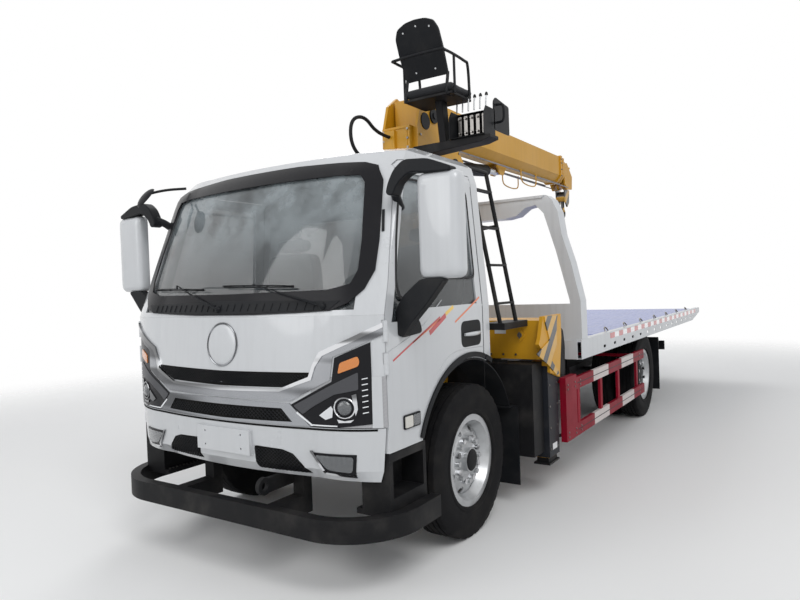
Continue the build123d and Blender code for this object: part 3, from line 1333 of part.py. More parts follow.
def tilt_frame():
    """Two box beams with cross tubes, wear strips and the rear pivot lugs."""
    outer = RAIL_OUTER_Y
    inner = outer - TILT_FRAME_WIDTH
    z0 = RAIL_TOP_Z + 0.3
    front = BED_FRONT_X - 110
    rear = TILT_PIVOT_X + 20
    beam = block(rear, front, inner, outer, z0, TILT_FRAME_TOP_Z)
    beam -= block(rear - 1, front + 1, inner + 6, outer - 6, z0 + 6, TILT_FRAME_TOP_Z - 6)
    side_pad = block(rear + 20, front - 20, outer - 1, RUNNER_INNER_Y - 0.3, z0 + 60, z0 + 100)
    top_pad = block(rear + 20, front - 20, inner + 10, outer - 10, TILT_FRAME_TOP_Z - 1, CROSS_BEARER_BOTTOM_Z - 0.3)
    lug = plate_xz(
        [
            (TILT_PIVOT_X - 50, TILT_PIVOT_Z - 40),
            (TILT_PIVOT_X + 50, TILT_PIVOT_Z - 50),
            (TILT_PIVOT_X + 190, z0 + 120),
            (TILT_PIVOT_X + 20, z0 + 120),
            (TILT_PIVOT_X - 50, z0 + 20),
        ],
        inner - 45,
        inner - 15,
    )
    pieces = both_sides(beam) + both_sides(side_pad) + both_sides(top_pad) + both_sides(lug)
    for x in (front - 60, REAR_AXLE_X + 900, REAR_AXLE_X - 100, rear + 120):
        pieces.append(block(x - 40, x + 40, -inner - 1, inner + 1, z0 + 60, z0 + 130))
    pieces.append(rod((LIFT_EYE_X, -inner - 1, LIFT_EYE_Z), (LIFT_EYE_X, inner + 1, LIFT_EYE_Z), 20))
    body = join(pieces)
    return body - rod((TILT_PIVOT_X, -500, TILT_PIVOT_Z), (TILT_PIVOT_X, 500, TILT_PIVOT_Z), PIN_R + RUNNING_GAP)


LIFT_RUN = Vector(LIFT_EYE_X - LIFT_PIVOT_X, 0, LIFT_EYE_Z - LIFT_PIVOT_Z)


def lift_barrels():
    """Pair of bed lift cylinder barrels on their chassis pivot."""
    pieces = []
    for y in (-LIFT_Y, LIFT_Y):
        start = (LIFT_PIVOT_X, y, LIFT_PIVOT_Z)
        barrel = rod(along(start, LIFT_RUN, 30), along(start, LIFT_RUN, 860), 50)
        eye = rod((LIFT_PIVOT_X, y - 45, LIFT_PIVOT_Z), (LIFT_PIVOT_X, y + 45, LIFT_PIVOT_Z), 48)
        bore = rod(along(start, LIFT_RUN, 120), along(start, LIFT_RUN, 870), 30 + RUNNING_GAP)
        pin = rod((LIFT_PIVOT_X, y - 60, LIFT_PIVOT_Z), (LIFT_PIVOT_X, y + 60, LIFT_PIVOT_Z), PIN_R + RUNNING_GAP)
        pieces.append(join([barrel, eye]) - bore - pin)
    return Compound(pieces)


def lift_rods():
    """Pair of bed lift rods; each eye stands clear round the cross tube."""
    pieces = []
    for y in (-LIFT_Y, LIFT_Y):
        start = (LIFT_PIVOT_X, y, LIFT_PIVOT_Z)
        body = rod(along(start, LIFT_RUN, 140), along(start, LIFT_RUN, LIFT_RUN.length - 40), 30)
        eye = rod((LIFT_EYE_X, y - 25, LIFT_EYE_Z), (LIFT_EYE_X, y + 25, LIFT_EYE_Z), 62)
        hole = rod((LIFT_EYE_X, y - 40, LIFT_EYE_Z), (LIFT_EYE_X, y + 40, LIFT_EYE_Z), 46)
        pieces.append(join([body, eye]) - hole)
    return Compound(pieces)


BED_WEDGE_X = BED_TAIL_X + 620


def bed_deck():
    """Deck plate on cross bearers and two runners that taper to the tail."""
    half = BED_HALF_WIDTH - SIDE_RAIL_METAL
    plate = block(BED_TAIL_X, BED_FRONT_X, -half, half, DECK_TOP_Z - DECK_METAL, DECK_TOP_Z)
    runner = plate_xz(
        [
            (BED_FRONT_X - 60, CROSS_BEARER_BOTTOM_Z),
            (BED_FRONT_X - 60, RUNNER_BOTTOM_Z),
            (BED_WEDGE_X + 350, RUNNER_BOTTOM_Z),
            (BED_WEDGE_X - 20, CROSS_BEARER_BOTTOM_Z - 20),
            (BED_WEDGE_X - 20, CROSS_BEARER_BOTTOM_Z),
        ],
        RUNNER_INNER_Y,
        RUNNER_INNER_Y + RUNNER_WIDTH,
    )
    load_area = block(BED_TAIL_X + 20, LOAD_FRONT_X, -LOAD_HALF_WIDTH, LOAD_HALF_WIDTH, DECK_TOP_Z - 1, LOAD_TOP_Z)
    pieces = [plate, load_area]
    first = BED_FRONT_X - 120
    last = BED_WEDGE_X + 40
    step = (last - first) / (CROSS_BEARER_COUNT - 1)
    for i in range(CROSS_BEARER_COUNT):
        x = first + step * i
        web = block(x - 4, x + 4, -half + 60, half - 60, CROSS_BEARER_BOTTOM_Z, DECK_TOP_Z - DECK_METAL + 1)
        lip = block(x - 4, x + 46, -half + 60, half - 60, CROSS_BEARER_BOTTOM_Z, CROSS_BEARER_BOTTOM_Z + 8)
        pieces += [web, lip]
    return Compound([join(pieces)] + both_sides(runner))


def bed_rails():
    """Side rails with their row of tie-down holes."""
    outer = BED_HALF_WIDTH
    inner = outer - SIDE_RAIL_METAL + 0.3
    outline = [
        (BED_FRONT_X, SIDE_RAIL_TOP_Z),
        (BED_FRONT_X, SIDE_RAIL_BOTTOM_Z),
        (BED_WEDGE_X, SIDE_RAIL_BOTTOM_Z),
        (BED_TAIL_X, SIDE_RAIL_TOP_Z - 70),
        (BED_TAIL_X, SIDE_RAIL_TOP_Z),
    ]
    web = plate_xz(outline, inner, outer)
    for i in range(RAIL_HOLE_COUNT):
        x = RAIL_HOLE_FIRST_X - RAIL_HOLE_PITCH * i
        slot = [rod((x + dx, inner - 10, RAIL_HOLE_Z), (x + dx, outer + 10, RAIL_HOLE_Z), 13) for dx in (-26, 26)]
        web -= slot + [block(x - 26, x + 26, inner - 10, outer + 10, RAIL_HOLE_Z - 13, RAIL_HOLE_Z + 13)]
    top = block(BED_TAIL_X, BED_FRONT_X, outer - 60, outer, DECK_TOP_Z + 0.3, SIDE_RAIL_TOP_Z)
    lip = block(BED_WEDGE_X, BED_FRONT_X, outer - 40, outer, SIDE_RAIL_BOTTOM_Z, SIDE_RAIL_BOTTOM_Z + 6)
    return Compound(both_sides(join([web, top, lip])))


def bed_gantry():
    """Portal with slanting legs, thick arms, curved gussets and the headboard."""
    x1 = BED_FRONT_X - 30
    x0 = x1 - GANTRY_DEPTH
    base = SIDE_RAIL_TOP_Z + 0.3
    outer = BED_HALF_WIDTH - 4
    top = GANTRY_TOP_Z
    half_frame = [
        (-1, top),
        (970, top),
        (1022, top - 40),
        (1071, top - 146),
        (1099, 2001),
        (1170, 1768),
        (outer - 4, 1445),
        (outer, base),
        (outer - GANTRY_FOOT_WIDTH, base),
        (1150, 1450),
        (1043, 1877),
        (947, 2193),
        (877, top - 76),
        (785, top - 92),
        (698, top - 154),
        (593, top - 171),
        (-1, top - 165),
    ]
    frame = plate_yz(half_frame, x0, x1)
    flange_plan = [(0, top), (960, top), (940, top - 22), (0, top - 22)]
    flange_top = plate_yz(flange_plan, x0 - 22, x1 + 12)
    deep = 1420
    panel = block(x1 - 12, x1, -outer + 30, outer - 30, DECK_TOP_Z + 0.3, deep)
    flange = block(x1 - 60, x1, -outer + 30, outer - 30, deep - 12, deep)
    skirt = block(BED_FRONT_X + 0.3, BED_FRONT_X + 12, -outer + 30, outer - 30, SIDE_RAIL_BOTTOM_Z, DECK_TOP_Z + 10)
    shelf = block(x1 - 12, BED_FRONT_X + 12, -outer + 30, outer - 30, DECK_TOP_Z + 0.3, DECK_TOP_Z + 14)
    beam_y = (RAIL_OUTER_Y - TILT_FRAME_WIDTH - MOVING_GAP, RAIL_OUTER_Y + MOVING_GAP)
    beam_path = block(BED_FRONT_X, BED_FRONT_X + 20, *beam_y, 0, CROSS_BEARER_BOTTOM_Z + MOVING_GAP)
    skirt -= beam_path
    skirt -= other_side(beam_path)
    pieces = [panel, flange, skirt, shelf] + both_sides(frame) + both_sides(flange_top)
    rail_clear = block(BED_TAIL_X, BED_FRONT_X + 0.3, BED_HALF_WIDTH - 60.4, BED_HALF_WIDTH + 1, 0, SIDE_RAIL_TOP_Z + 0.3)
    return join(pieces) - rail_clear - other_side(rail_clear)


def bed_winch():
    """Winch behind the headboard, with its drum between two stands."""
    z0 = DECK_TOP_Z + 0.3
    x = BED_FRONT_X - 420
    base = block(x - 130, x + 130, -260, 260, z0, z0 + 16)
    stands = [block(x - 90, x + 90, s * 200 - 12, s * 200 + 12, z0 + 14, z0 + 230) for s in (-1, 1)]
    drum = rod((x, -200, z0 + 135), (x, 200, z0 + 135), 62)
    motor = rod((x, 210, z0 + 135), (x, 330, z0 + 135), 70)
    return join([base, drum, motor] + stands)


# Wheel lift


def wheel_lift_arm():
    """Outer arm of the wheel lift on its chassis pivot."""
    h = WHEEL_LIFT_HALF
    x0 = WHEEL_LIFT_BAR_X + 140
    tube = block(x0, WHEEL_LIFT_PIVOT_X - 40, -h - 10, h + 10, WHEEL_LIFT_Z - h, WHEEL_LIFT_Z + h)
    tube -= block(x0 - 1, WHEEL_LIFT_PIVOT_X - 100, -h + 4, h - 4, WHEEL_LIFT_Z - h + 12, WHEEL_LIFT_Z + h - 12)
    ear = block(
        WHEEL_LIFT_PIVOT_X - 120,
        WHEEL_LIFT_PIVOT_X + 60,
        h - 10,
        RAIL_OUTER_Y - 14,
        WHEEL_LIFT_Z - h,
        WHEEL_LIFT_Z + h,
    )
    body = join([tube] + both_sides(ear))
    pivot = rod((WHEEL_LIFT_PIVOT_X, -500, WHEEL_LIFT_Z), (WHEEL_LIFT_PIVOT_X, 500, WHEEL_LIFT_Z), PIN_R + RUNNING_GAP)
    return body - pivot


def wheel_lift_bar():
    """Inner arm with the cross bar and the two wheel forks."""
    h = WHEEL_LIFT_HALF - 14
    x = WHEEL_LIFT_BAR_X
    arm = block(x, WHEEL_LIFT_PIVOT_X - 160, -h + 1, h - 1, WHEEL_LIFT_Z - h + 1, WHEEL_LIFT_Z + h - 1)
    bar = block(x - 60, x + 60, -820, 820, WHEEL_LIFT_Z - 50, WHEEL_LIFT_Z + 50)
    fork = block(x + 50, x + 330, 740, 810, WHEEL_LIFT_Z - 40, WHEEL_LIFT_Z + 40)
    return join([arm, bar] + both_sides(fork))


def main():
    """Write every piece, moved to the truck's own origin."""
    os.makedirs("parts", exist_ok=True)

    def save(name, shape):
        export_step(Pos(-ORIGIN_X, 0, 0) * shape, f"parts/{name}.step")

    write_wheels(save)
    left_knuckle = knuckle()
    save("knuckle_left", left_knuckle)
    save("knuckle_right", other_side(left_knuckle))
    save("front_axle", front_axle())
    save("rear_axle", rear_axle())
    save("chassis_frame", chassis_frame())
    save("engine_block", Compound([engine_block(), driveline()]))
    save("side_tanks", side_tanks())
    save("mudguards", Compound([front_guards(), tail_lamps()]))
    save("side_guards", side_guards())
    write_cab(save)
    save("cab_floor", cab_floor())
    save("cab_interior", cab_interior())
    save("steering_wheel", steering_wheel())
    save("grille_trim", Compound([grille_trim(), upper_grille()]))
    save("front_bumper", front_bumper())
    save("underrun_bar", underrun_bar())
    save("tow_eye", tow_eye())
    left_mirror = mirror_set()
    save("mirror_left", left_mirror)
    save("mirror_right", other_side(left_mirror))
    save("crane_base", crane_base())
    save("access_ladder", access_ladder())
    front_tunnel, rear_tunnel = beam_tunnels()
    save("outrigger_beam_left", outrigger_beam(front_tunnel))
    save("outrigger_beam_right", other_side(outrigger_beam(rear_tunnel)))
    jack = outrigger_jack()
    save("outrigger_jack_left", jack)
    save("outrigger_jack_right", other_side(jack))
    save("crane_turret", crane_turret())
    save("crane_hoses", crane_hoses())
    save("operator_station", operator_station())
    save("boom_base", boom_base())
    save("boom_mid", boom_mid())
    save("boom_tip", boom_tip())
    save("hook_block", hook_block())
    save("luff_barrel", luff_barrel())
    save("luff_rod", luff_rod())
    save("bed_tilt_frame", tilt_frame())
    save("bed_lift_barrels", lift_barrels())
    save("bed_lift_rods", lift_rods())
    save("bed_deck", bed_deck())
    save("bed_rails", bed_rails())
    save("bed_gantry", bed_gantry())
    save("bed_winch", bed_winch())
    save("wheel_lift_arm", wheel_lift_arm())
    save("wheel_lift_bar", wheel_lift_bar())


main()
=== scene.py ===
"""Paint, trim, lamps, tyres, rigging and stage round the packed tow truck.

The packed model is the fixed frame. Stations along the truck count forwards
from the front axle in metres, as in the part's source, and y is positive on
the driver's side, which is the truck's left.
"""

import json
from itertools import product
from math import atan2, cos, hypot, pi, radians, sin

import bmesh
import bpy
from bpy.props import FloatProperty, FloatVectorProperty, IntProperty, PointerProperty
from mathutils import Matrix, Vector
from mathutils.geometry import delaunay_2d_cdt
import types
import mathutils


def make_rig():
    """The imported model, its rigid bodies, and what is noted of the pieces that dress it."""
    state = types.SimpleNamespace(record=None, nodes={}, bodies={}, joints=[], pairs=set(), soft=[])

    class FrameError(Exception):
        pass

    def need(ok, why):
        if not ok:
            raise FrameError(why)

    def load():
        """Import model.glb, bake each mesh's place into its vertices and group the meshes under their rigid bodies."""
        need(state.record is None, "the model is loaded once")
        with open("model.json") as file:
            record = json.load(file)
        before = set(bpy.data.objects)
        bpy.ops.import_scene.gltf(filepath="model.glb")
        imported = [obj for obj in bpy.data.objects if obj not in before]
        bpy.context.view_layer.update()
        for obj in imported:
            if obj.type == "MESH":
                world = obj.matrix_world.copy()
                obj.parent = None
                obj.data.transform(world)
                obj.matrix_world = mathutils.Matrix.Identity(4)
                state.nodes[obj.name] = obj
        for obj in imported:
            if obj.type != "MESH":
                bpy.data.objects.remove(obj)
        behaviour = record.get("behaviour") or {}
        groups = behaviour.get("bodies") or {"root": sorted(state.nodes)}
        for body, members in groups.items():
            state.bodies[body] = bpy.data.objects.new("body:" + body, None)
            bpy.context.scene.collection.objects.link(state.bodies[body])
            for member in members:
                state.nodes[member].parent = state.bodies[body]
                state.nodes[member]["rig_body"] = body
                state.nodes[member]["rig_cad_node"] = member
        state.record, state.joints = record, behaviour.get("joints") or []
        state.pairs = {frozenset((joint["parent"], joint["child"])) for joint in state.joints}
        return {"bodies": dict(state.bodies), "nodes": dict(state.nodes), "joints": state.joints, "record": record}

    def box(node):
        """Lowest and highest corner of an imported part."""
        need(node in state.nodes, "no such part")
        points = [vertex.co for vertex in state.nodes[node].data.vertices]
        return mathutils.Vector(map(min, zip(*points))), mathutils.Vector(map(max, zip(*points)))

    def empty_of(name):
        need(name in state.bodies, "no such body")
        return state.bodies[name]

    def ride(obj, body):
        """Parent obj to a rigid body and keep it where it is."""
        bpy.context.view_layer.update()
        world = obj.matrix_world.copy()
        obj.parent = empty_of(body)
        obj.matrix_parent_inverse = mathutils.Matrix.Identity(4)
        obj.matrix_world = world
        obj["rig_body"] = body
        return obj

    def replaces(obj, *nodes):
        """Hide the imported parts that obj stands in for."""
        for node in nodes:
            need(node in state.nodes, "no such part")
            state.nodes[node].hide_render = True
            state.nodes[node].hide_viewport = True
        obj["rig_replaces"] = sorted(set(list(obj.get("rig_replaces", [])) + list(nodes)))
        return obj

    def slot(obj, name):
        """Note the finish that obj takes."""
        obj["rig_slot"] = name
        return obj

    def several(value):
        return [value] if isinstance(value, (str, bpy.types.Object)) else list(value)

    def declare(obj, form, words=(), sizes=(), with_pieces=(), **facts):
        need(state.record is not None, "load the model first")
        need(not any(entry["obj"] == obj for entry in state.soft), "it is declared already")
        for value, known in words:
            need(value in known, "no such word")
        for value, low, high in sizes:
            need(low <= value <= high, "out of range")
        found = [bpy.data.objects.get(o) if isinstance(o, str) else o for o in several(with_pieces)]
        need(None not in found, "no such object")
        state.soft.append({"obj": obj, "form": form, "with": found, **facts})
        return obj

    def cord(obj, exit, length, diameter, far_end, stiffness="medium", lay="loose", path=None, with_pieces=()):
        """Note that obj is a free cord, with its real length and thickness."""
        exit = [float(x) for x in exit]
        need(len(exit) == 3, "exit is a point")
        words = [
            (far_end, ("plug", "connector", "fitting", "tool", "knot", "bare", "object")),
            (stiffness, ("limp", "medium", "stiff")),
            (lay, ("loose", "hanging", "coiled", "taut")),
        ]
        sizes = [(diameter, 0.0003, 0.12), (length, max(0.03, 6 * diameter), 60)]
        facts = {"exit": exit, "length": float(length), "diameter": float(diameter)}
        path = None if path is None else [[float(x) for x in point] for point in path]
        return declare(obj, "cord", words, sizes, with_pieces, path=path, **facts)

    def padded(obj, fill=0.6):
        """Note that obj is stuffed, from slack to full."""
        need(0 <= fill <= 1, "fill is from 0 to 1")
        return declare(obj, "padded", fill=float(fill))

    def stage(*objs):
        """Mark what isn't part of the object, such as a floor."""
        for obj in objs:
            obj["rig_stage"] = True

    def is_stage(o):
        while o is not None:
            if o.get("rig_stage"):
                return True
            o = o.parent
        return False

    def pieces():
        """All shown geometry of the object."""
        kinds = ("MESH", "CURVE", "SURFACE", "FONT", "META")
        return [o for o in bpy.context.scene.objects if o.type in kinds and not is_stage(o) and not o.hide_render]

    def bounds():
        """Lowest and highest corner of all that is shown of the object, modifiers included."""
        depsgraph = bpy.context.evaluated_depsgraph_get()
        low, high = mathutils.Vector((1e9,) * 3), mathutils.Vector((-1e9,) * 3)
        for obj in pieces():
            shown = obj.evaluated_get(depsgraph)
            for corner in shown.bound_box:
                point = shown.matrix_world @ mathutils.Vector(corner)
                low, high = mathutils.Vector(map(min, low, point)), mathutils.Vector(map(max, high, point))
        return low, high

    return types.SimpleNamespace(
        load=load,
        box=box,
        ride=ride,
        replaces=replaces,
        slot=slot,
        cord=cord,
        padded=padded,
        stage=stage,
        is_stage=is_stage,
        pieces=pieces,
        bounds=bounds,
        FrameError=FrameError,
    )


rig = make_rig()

bl_info = {
    "name": "Tow truck dressing",
    "version": (1, 0, 0),
    "blender": (4, 5, 0),
    "location": "3D View > Sidebar > Tow truck",
    "description": "Paint, trim, lamps, tyres, rigging and stage for the packed tow truck",
    "category": "Object",
}

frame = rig.load()
CAD_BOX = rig.bounds()
NODES = frame["nodes"]
SLOTS = {m["slot"] for m in frame["record"]["materials"]}

TYRE_LOW, TYRE_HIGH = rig.box("tyre_front_left")
AXLE_X = (TYRE_LOW.x + TYRE_HIGH.x) / 2
TYRE_R = (TYRE_HIGH.z - TYRE_LOW.z) / 2
FRONT_FACE_Y = TYRE_HIGH.y
REAR_LOW, REAR_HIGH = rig.box("tyres_rear_left")
REAR_X = (REAR_LOW.x + REAR_HIGH.x) / 2 - AXLE_X
REAR_FACE_Y = REAR_HIGH.y
TYRE_WIDTH = FRONT_FACE_Y - TYRE_LOW.y
TWIN_FACE_Y = REAR_LOW.y + TYRE_WIDTH
BED_FACE_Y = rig.box("bed_rails")[1].y
DECK_TOP_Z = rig.box("bed_deck")[1].z
SIDES = ((1, "left"), (-1, "right"))
# Slot of the record that a finish belongs to, where its own name is not one
SLOT_OF = {
    "surround": "trim_black", "void": "trim_black", "lamp_shell": "trim_black", "dashboard": "trim_black",
    "shut_line": "trim_black", "lever_grip": "trim_black", "grey_band": "chrome", "mirror_face": "chrome",
    "white_lens": "lamp", "amber_lens": "lamp", "red_lens": "lamp", "clear_lens": "lamp", "pearl_lens": "lamp",
    "grease": "steel", "rope": "steel", "hazard": "crane_yellow", "leg_face": "chassis_black",
    "blank_white": "chassis_black", "guard_post": "guard_red_white", "stripe_red": "cab_white",
    "stripe_orange": "cab_white", "stripe_yellow": "cab_white",
}


# Shader maths


class Field:
    """A shader socket that can be written as maths."""

    def __init__(self, shader, socket):
        self.shader, self.socket = shader, socket

    def _math(self, operation, first, second=None):
        inputs = {0: first} if second is None else {0: first, 1: second}
        return self.shader.node("ShaderNodeMath", {"operation": operation}, inputs)[0]

    def __add__(self, other):
        return self._math("ADD", self, other)

    def __radd__(self, other):
        return self._math("ADD", other, self)

    def __sub__(self, other):
        return self._math("SUBTRACT", self, other)

    def __rsub__(self, other):
        return self._math("SUBTRACT", other, self)

    def __mul__(self, other):
        return self._math("MULTIPLY", self, other)

    def __rmul__(self, other):
        return self._math("MULTIPLY", other, self)

    def __truediv__(self, other):
        return self._math("DIVIDE", self, other)

    def __gt__(self, other):
        return self._math("GREATER_THAN", self, other)

    def __lt__(self, other):
        return self._math("LESS_THAN", self, other)

    def absolute(self):
        return self._math("ABSOLUTE", self)

    def wrapped(self):
        """Fraction of the value, from 0 to 1."""
        return self._math("FRACT", self)

    def smooth(self, low, high):
        """0 below low and 1 above high, with a smooth step between."""
        inputs = {"Value": self, "From Min": low, "From Max": high}
        return self.shader.node("ShaderNodeMapRange", {"interpolation_type": "SMOOTHSTEP"}, inputs)[0]


class Shader:
    """One node material with a Principled surface."""

    def __init__(self, name, base, roughness=0.5, metallic=0.0, **surface):
        self.material = bpy.data.materials.new(name)
        self.material.use_nodes = True
        self.material.diffuse_color = (*base, 1)
        self.tree = self.material.node_tree
        self.tree.nodes.clear()
        self.surface = self.tree.nodes.new("ShaderNodeBsdfPrincipled")
        out = self.tree.nodes.new("ShaderNodeOutputMaterial")
        self.tree.links.new(self.surface.outputs[0], out.inputs[0])
        self.set("Base Color", (*base, 1))
        self.set("Roughness", roughness)
        self.set("Metallic", metallic)
        for key, value in surface.items():
            self.set(key.replace("_", " "), value)
        self._coords = None

    def set(self, key, value):
        socket = self.surface.inputs[key]
        if isinstance(value, Field):
            self.tree.links.new(value.socket, socket)
        else:
            socket.default_value = value

    def node(self, kind, settings=None, inputs=None):
        """Makes a node; returns its outputs as fields."""
        made = self.tree.nodes.new(kind)
        for key, value in (settings or {}).items():
            setattr(made, key, value)
        for key, value in (inputs or {}).items():
            if isinstance(value, Field):
                self.tree.links.new(value.socket, made.inputs[key])
            else:
                made.inputs[key].default_value = value
        return [Field(self, socket) for socket in made.outputs if socket.enabled]

    @property
    def coords(self):
        if self._coords is None:
            made = self.tree.nodes.new("ShaderNodeTexCoord")
            self._coords = Field(self, made.outputs["Object"])
        return self._coords

    def xyz(self):
        return self.node("ShaderNodeSeparateXYZ", None, {0: self.coords})

    def noise(self, scale, stretch=(1, 1, 1), detail=3.0, rough=0.55):
        place = self.node("ShaderNodeMapping", None, {"Vector": self.coords, "Scale": stretch})[0]
        inputs = {"Vector": place, "Scale": scale, "Detail": detail, "Roughness": rough}
        return self.node("ShaderNodeTexNoise", None, inputs)[0]

    def mix(self, factor, first, second):
        """Colour mix; first and second are RGB values or fields."""
        inputs = {0: factor}
        for key, value in ((6, first), (7, second)):
            inputs[key] = value if isinstance(value, Field) else (*value, 1)
        return self.node("ShaderNodeMix", {"data_type": "RGBA"}, inputs)[0]

    def bump(self, height, distance, strength=1.0):
        inputs = {"Height": height, "Distance": distance, "Strength": strength}
        self.set("Normal", self.node("ShaderNodeBump", None, inputs)[0])


def shade(colour, share):
    """Colour made darker or lighter by a share."""
    return tuple(min(1.0, c * share) for c in colour)


def painted(name, base, roughness=0.32, coat=0.6, dirt=0.1, dust=(0.42, 0.39, 0.34), streaks=0.05):
    """Vehicle paint: orange peel, rain streaks, and road dust low down."""
    s = Shader(name, base, roughness, 0.0, Coat_Weight=coat, Coat_Roughness=0.06)
    fine = s.noise(3.0, detail=5)
    rain = s.noise(1.0, (26, 26, 0.7), 4)
    low = 1 - s.xyz()[2].smooth(0.15, 1.2)
    tone = s.mix(rain.smooth(0.42, 0.75) * streaks * 4, base, shade(base, 0.82))
    mask = fine.smooth(0.35, 0.75) * (low * 0.8 + 0.2) * dirt
    s.set("Base Color", s.mix(mask, tone, dust))
    s.set("Roughness", fine.smooth(0.2, 0.9) * 0.12 + roughness)
    s.bump(s.noise(70, detail=2) * 0.4 + s.noise(450, detail=1) * 0.2, 0.0004, 0.25)
    return s.material


def moulded(name, base, roughness=0.55, grain=900, depth=0.0004, dust_share=0.16):
    """Grained plastic with dust in its hollows and paler worn patches."""
    s = Shader(name, base, roughness, Specular_IOR_Level=0.12)
    patch = s.noise(5, detail=6)
    pebble = s.noise(grain, detail=2)
    tone = s.mix(patch.smooth(0.4, 0.8) * dust_share, base, (0.085, 0.080, 0.074))
    s.set("Base Color", s.mix(pebble.smooth(0.45, 0.75) * 0.18, tone, shade(base, 2.2)))
    s.set("Roughness", patch * 0.2 + roughness - 0.08)
    s.bump(pebble + patch * 0.4, depth, 0.5)
    return s.material


def metal(name, base, roughness=0.3, brushed=(1, 1, 1), grime=0.2, metallic=1.0, painted_reflection=0.0, grain=1.0):
    """Bare or plated metal with fine scratches, grime and darker bands along it."""
    s = Shader(name, base, roughness, metallic)
    fine = s.noise(60, brushed, 5)
    blot = s.noise(7, detail=6)
    bands = s.noise(0.9, (1, 1, 14), 0)
    # Painted reflection: horizontal bands darken the colour and stand for dark surroundings reflected in the metal;
    # painted_reflection sets their strength.
    plate = s.mix(bands.smooth(0.42, 0.60) * painted_reflection, base, shade(base, 0.12))
    s.set("Base Color", s.mix(blot.smooth(0.45, 0.8) * grime, plate, shade(base, 0.35)))
    s.set("Roughness", fine * 0.16 * grain + blot.smooth(0.4, 0.8) * 0.14 * grain + roughness - 0.06 * grain)
    s.bump(fine, 0.0003, 0.2 * grain)
    return s.material


def rubber(name, base=(0.009, 0.009, 0.010), roughness=0.7, dust=0.35):
    """Rubber with pale road dust on it."""
    s = Shader(name, base, roughness, Specular_IOR_Level=0.08)
    patch = s.noise(6, detail=7)
    fine = s.noise(240, detail=3)
    s.set("Base Color", s.mix(patch.smooth(0.38, 0.78) * dust, base, (0.045, 0.042, 0.038)))
    s.set("Roughness", patch * 0.25 + roughness - 0.1)
    s.bump(fine + patch * 2, 0.0006, 0.4)
    return s.material


def lens(name, base, clear=0.0, glow=0.0):
    """Moulded lamp lens with fine flutes."""
    s = Shader(name, base, 0.08, 0.0, Coat_Weight=1.0, Transmission_Weight=clear, IOR=1.49)
    flutes = s.node("ShaderNodeTexWave", {"bands_direction": "DIAGONAL"}, {"Vector": s.coords, "Scale": 90.0})[0]
    s.set("Base Color", s.mix(flutes.smooth(0.3, 0.9) * 0.35, base, shade(base, 1.9)))
    if glow:
        s.set("Emission Color", (*base, 1))
        s.set("Emission Strength", glow)
    s.bump(flutes, 0.0008, 0.35)
    return s.material


def pane(name, base, alpha, haze=0.1):
    """Tinted safety glass with a thin film of dust and dried drops."""
    s = Shader(name, base, 0.03, 0.0, Coat_Weight=1.0, IOR=1.5)
    drops = s.noise(120, (1, 1, 0.25), 3)
    film = s.noise(4, detail=6)
    # Painted reflection: higher up, the glass is tinted pale blue-grey in patches and made more opaque, standing for
    # the sky reflected in it.
    height = s.xyz()[2].smooth(1.55, 2.25)
    painted_sky_reflection = height * film.smooth(0.25, 0.6)
    s.set("Base Color", s.mix(painted_sky_reflection, base, (0.34, 0.39, 0.41)))
    s.set("Alpha", film.smooth(0.3, 0.8) * haze + drops.smooth(0.6, 0.75) * haze + height * 0.14 + alpha)
    s.set("Roughness", drops.smooth(0.55, 0.75) * 0.18 + 0.03)
    return s.material


GUARD_INNER_Y = 1.2218


def banded_guard(name, red, white, front_x, band):
    """Guard beams in equal red and white bands, posts all red."""
    s = Shader(name, red, 0.5, 0.0, Specular_IOR_Level=0.12)
    x, y = s.xyz()[:2]
    place = (AXLE_X + front_x - x) / (2 * band)
    pale = (place.wrapped() > 0.5) * (x < AXLE_X + front_x) * (y.absolute() > GUARD_INNER_Y)
    grime = s.noise(7, detail=6)
    fleck = s.noise(160, detail=2)
    tone = s.mix(pale, s.mix(grime.smooth(0.3, 0.7) * 0.35, red, shade(red, 0.62)), white)
    soil = grime.smooth(0.5, 0.8) * 0.2 + fleck.smooth(0.62, 0.8) * 0.06
    s.set("Base Color", s.mix(soil, tone, (0.13, 0.04, 0.035)))
    s.set("Roughness", grime * 0.2 + 0.34)
    s.bump(fleck, 0.0004, 0.3)
    return s.material


def film_deck(name, film, steel):
    """Deck paint under a lavender protective film with creases and worn streaks."""
    s = Shader(name, film, 0.38, 0.0, Coat_Weight=0.4, Coat_Roughness=0.25)
    streak = s.noise(5.0, (0.35, 3.2, 1), 6)
    crease = s.noise(16.0, (0.6, 2.4, 1), 4)
    worn = streak.smooth(0.52, 0.7)
    tone = s.mix(streak.smooth(0.3, 0.6) * 0.45, film, shade(film, 1.35))
    # Painted shade: the film's colour is darkened along its creases.
    tone = s.mix(crease.smooth(0.6, 0.68) * 0.5, tone, shade(film, 0.6))
    under = s.xyz()[2] < DECK_TOP_Z - 0.004
    s.set("Base Color", s.mix(under, s.mix(worn * 0.25, tone, steel), (0.05, 0.05, 0.055)))
    s.set("Roughness", crease * 0.3 + 0.25)
    s.bump(crease + streak * 2, 0.004, 0.35)
    return s.material


def hazard(name, yellow, black, pitch):
    """Slanting black bands on yellow."""
    s = Shader(name, yellow, 0.35, 0.0, Coat_Weight=0.4)
    x, z = s.xyz()[::2]
    band = ((x + z) / pitch).wrapped() > 0.5
    grime = s.noise(9, detail=6)
    tone = s.mix(band, yellow, black)
    s.set("Base Color", s.mix(grime.smooth(0.45, 0.8) * 0.3, tone, (0.25, 0.2, 0.14)))
    s.bump(s.noise(300, detail=2), 0.0003, 0.3)
    return s.material


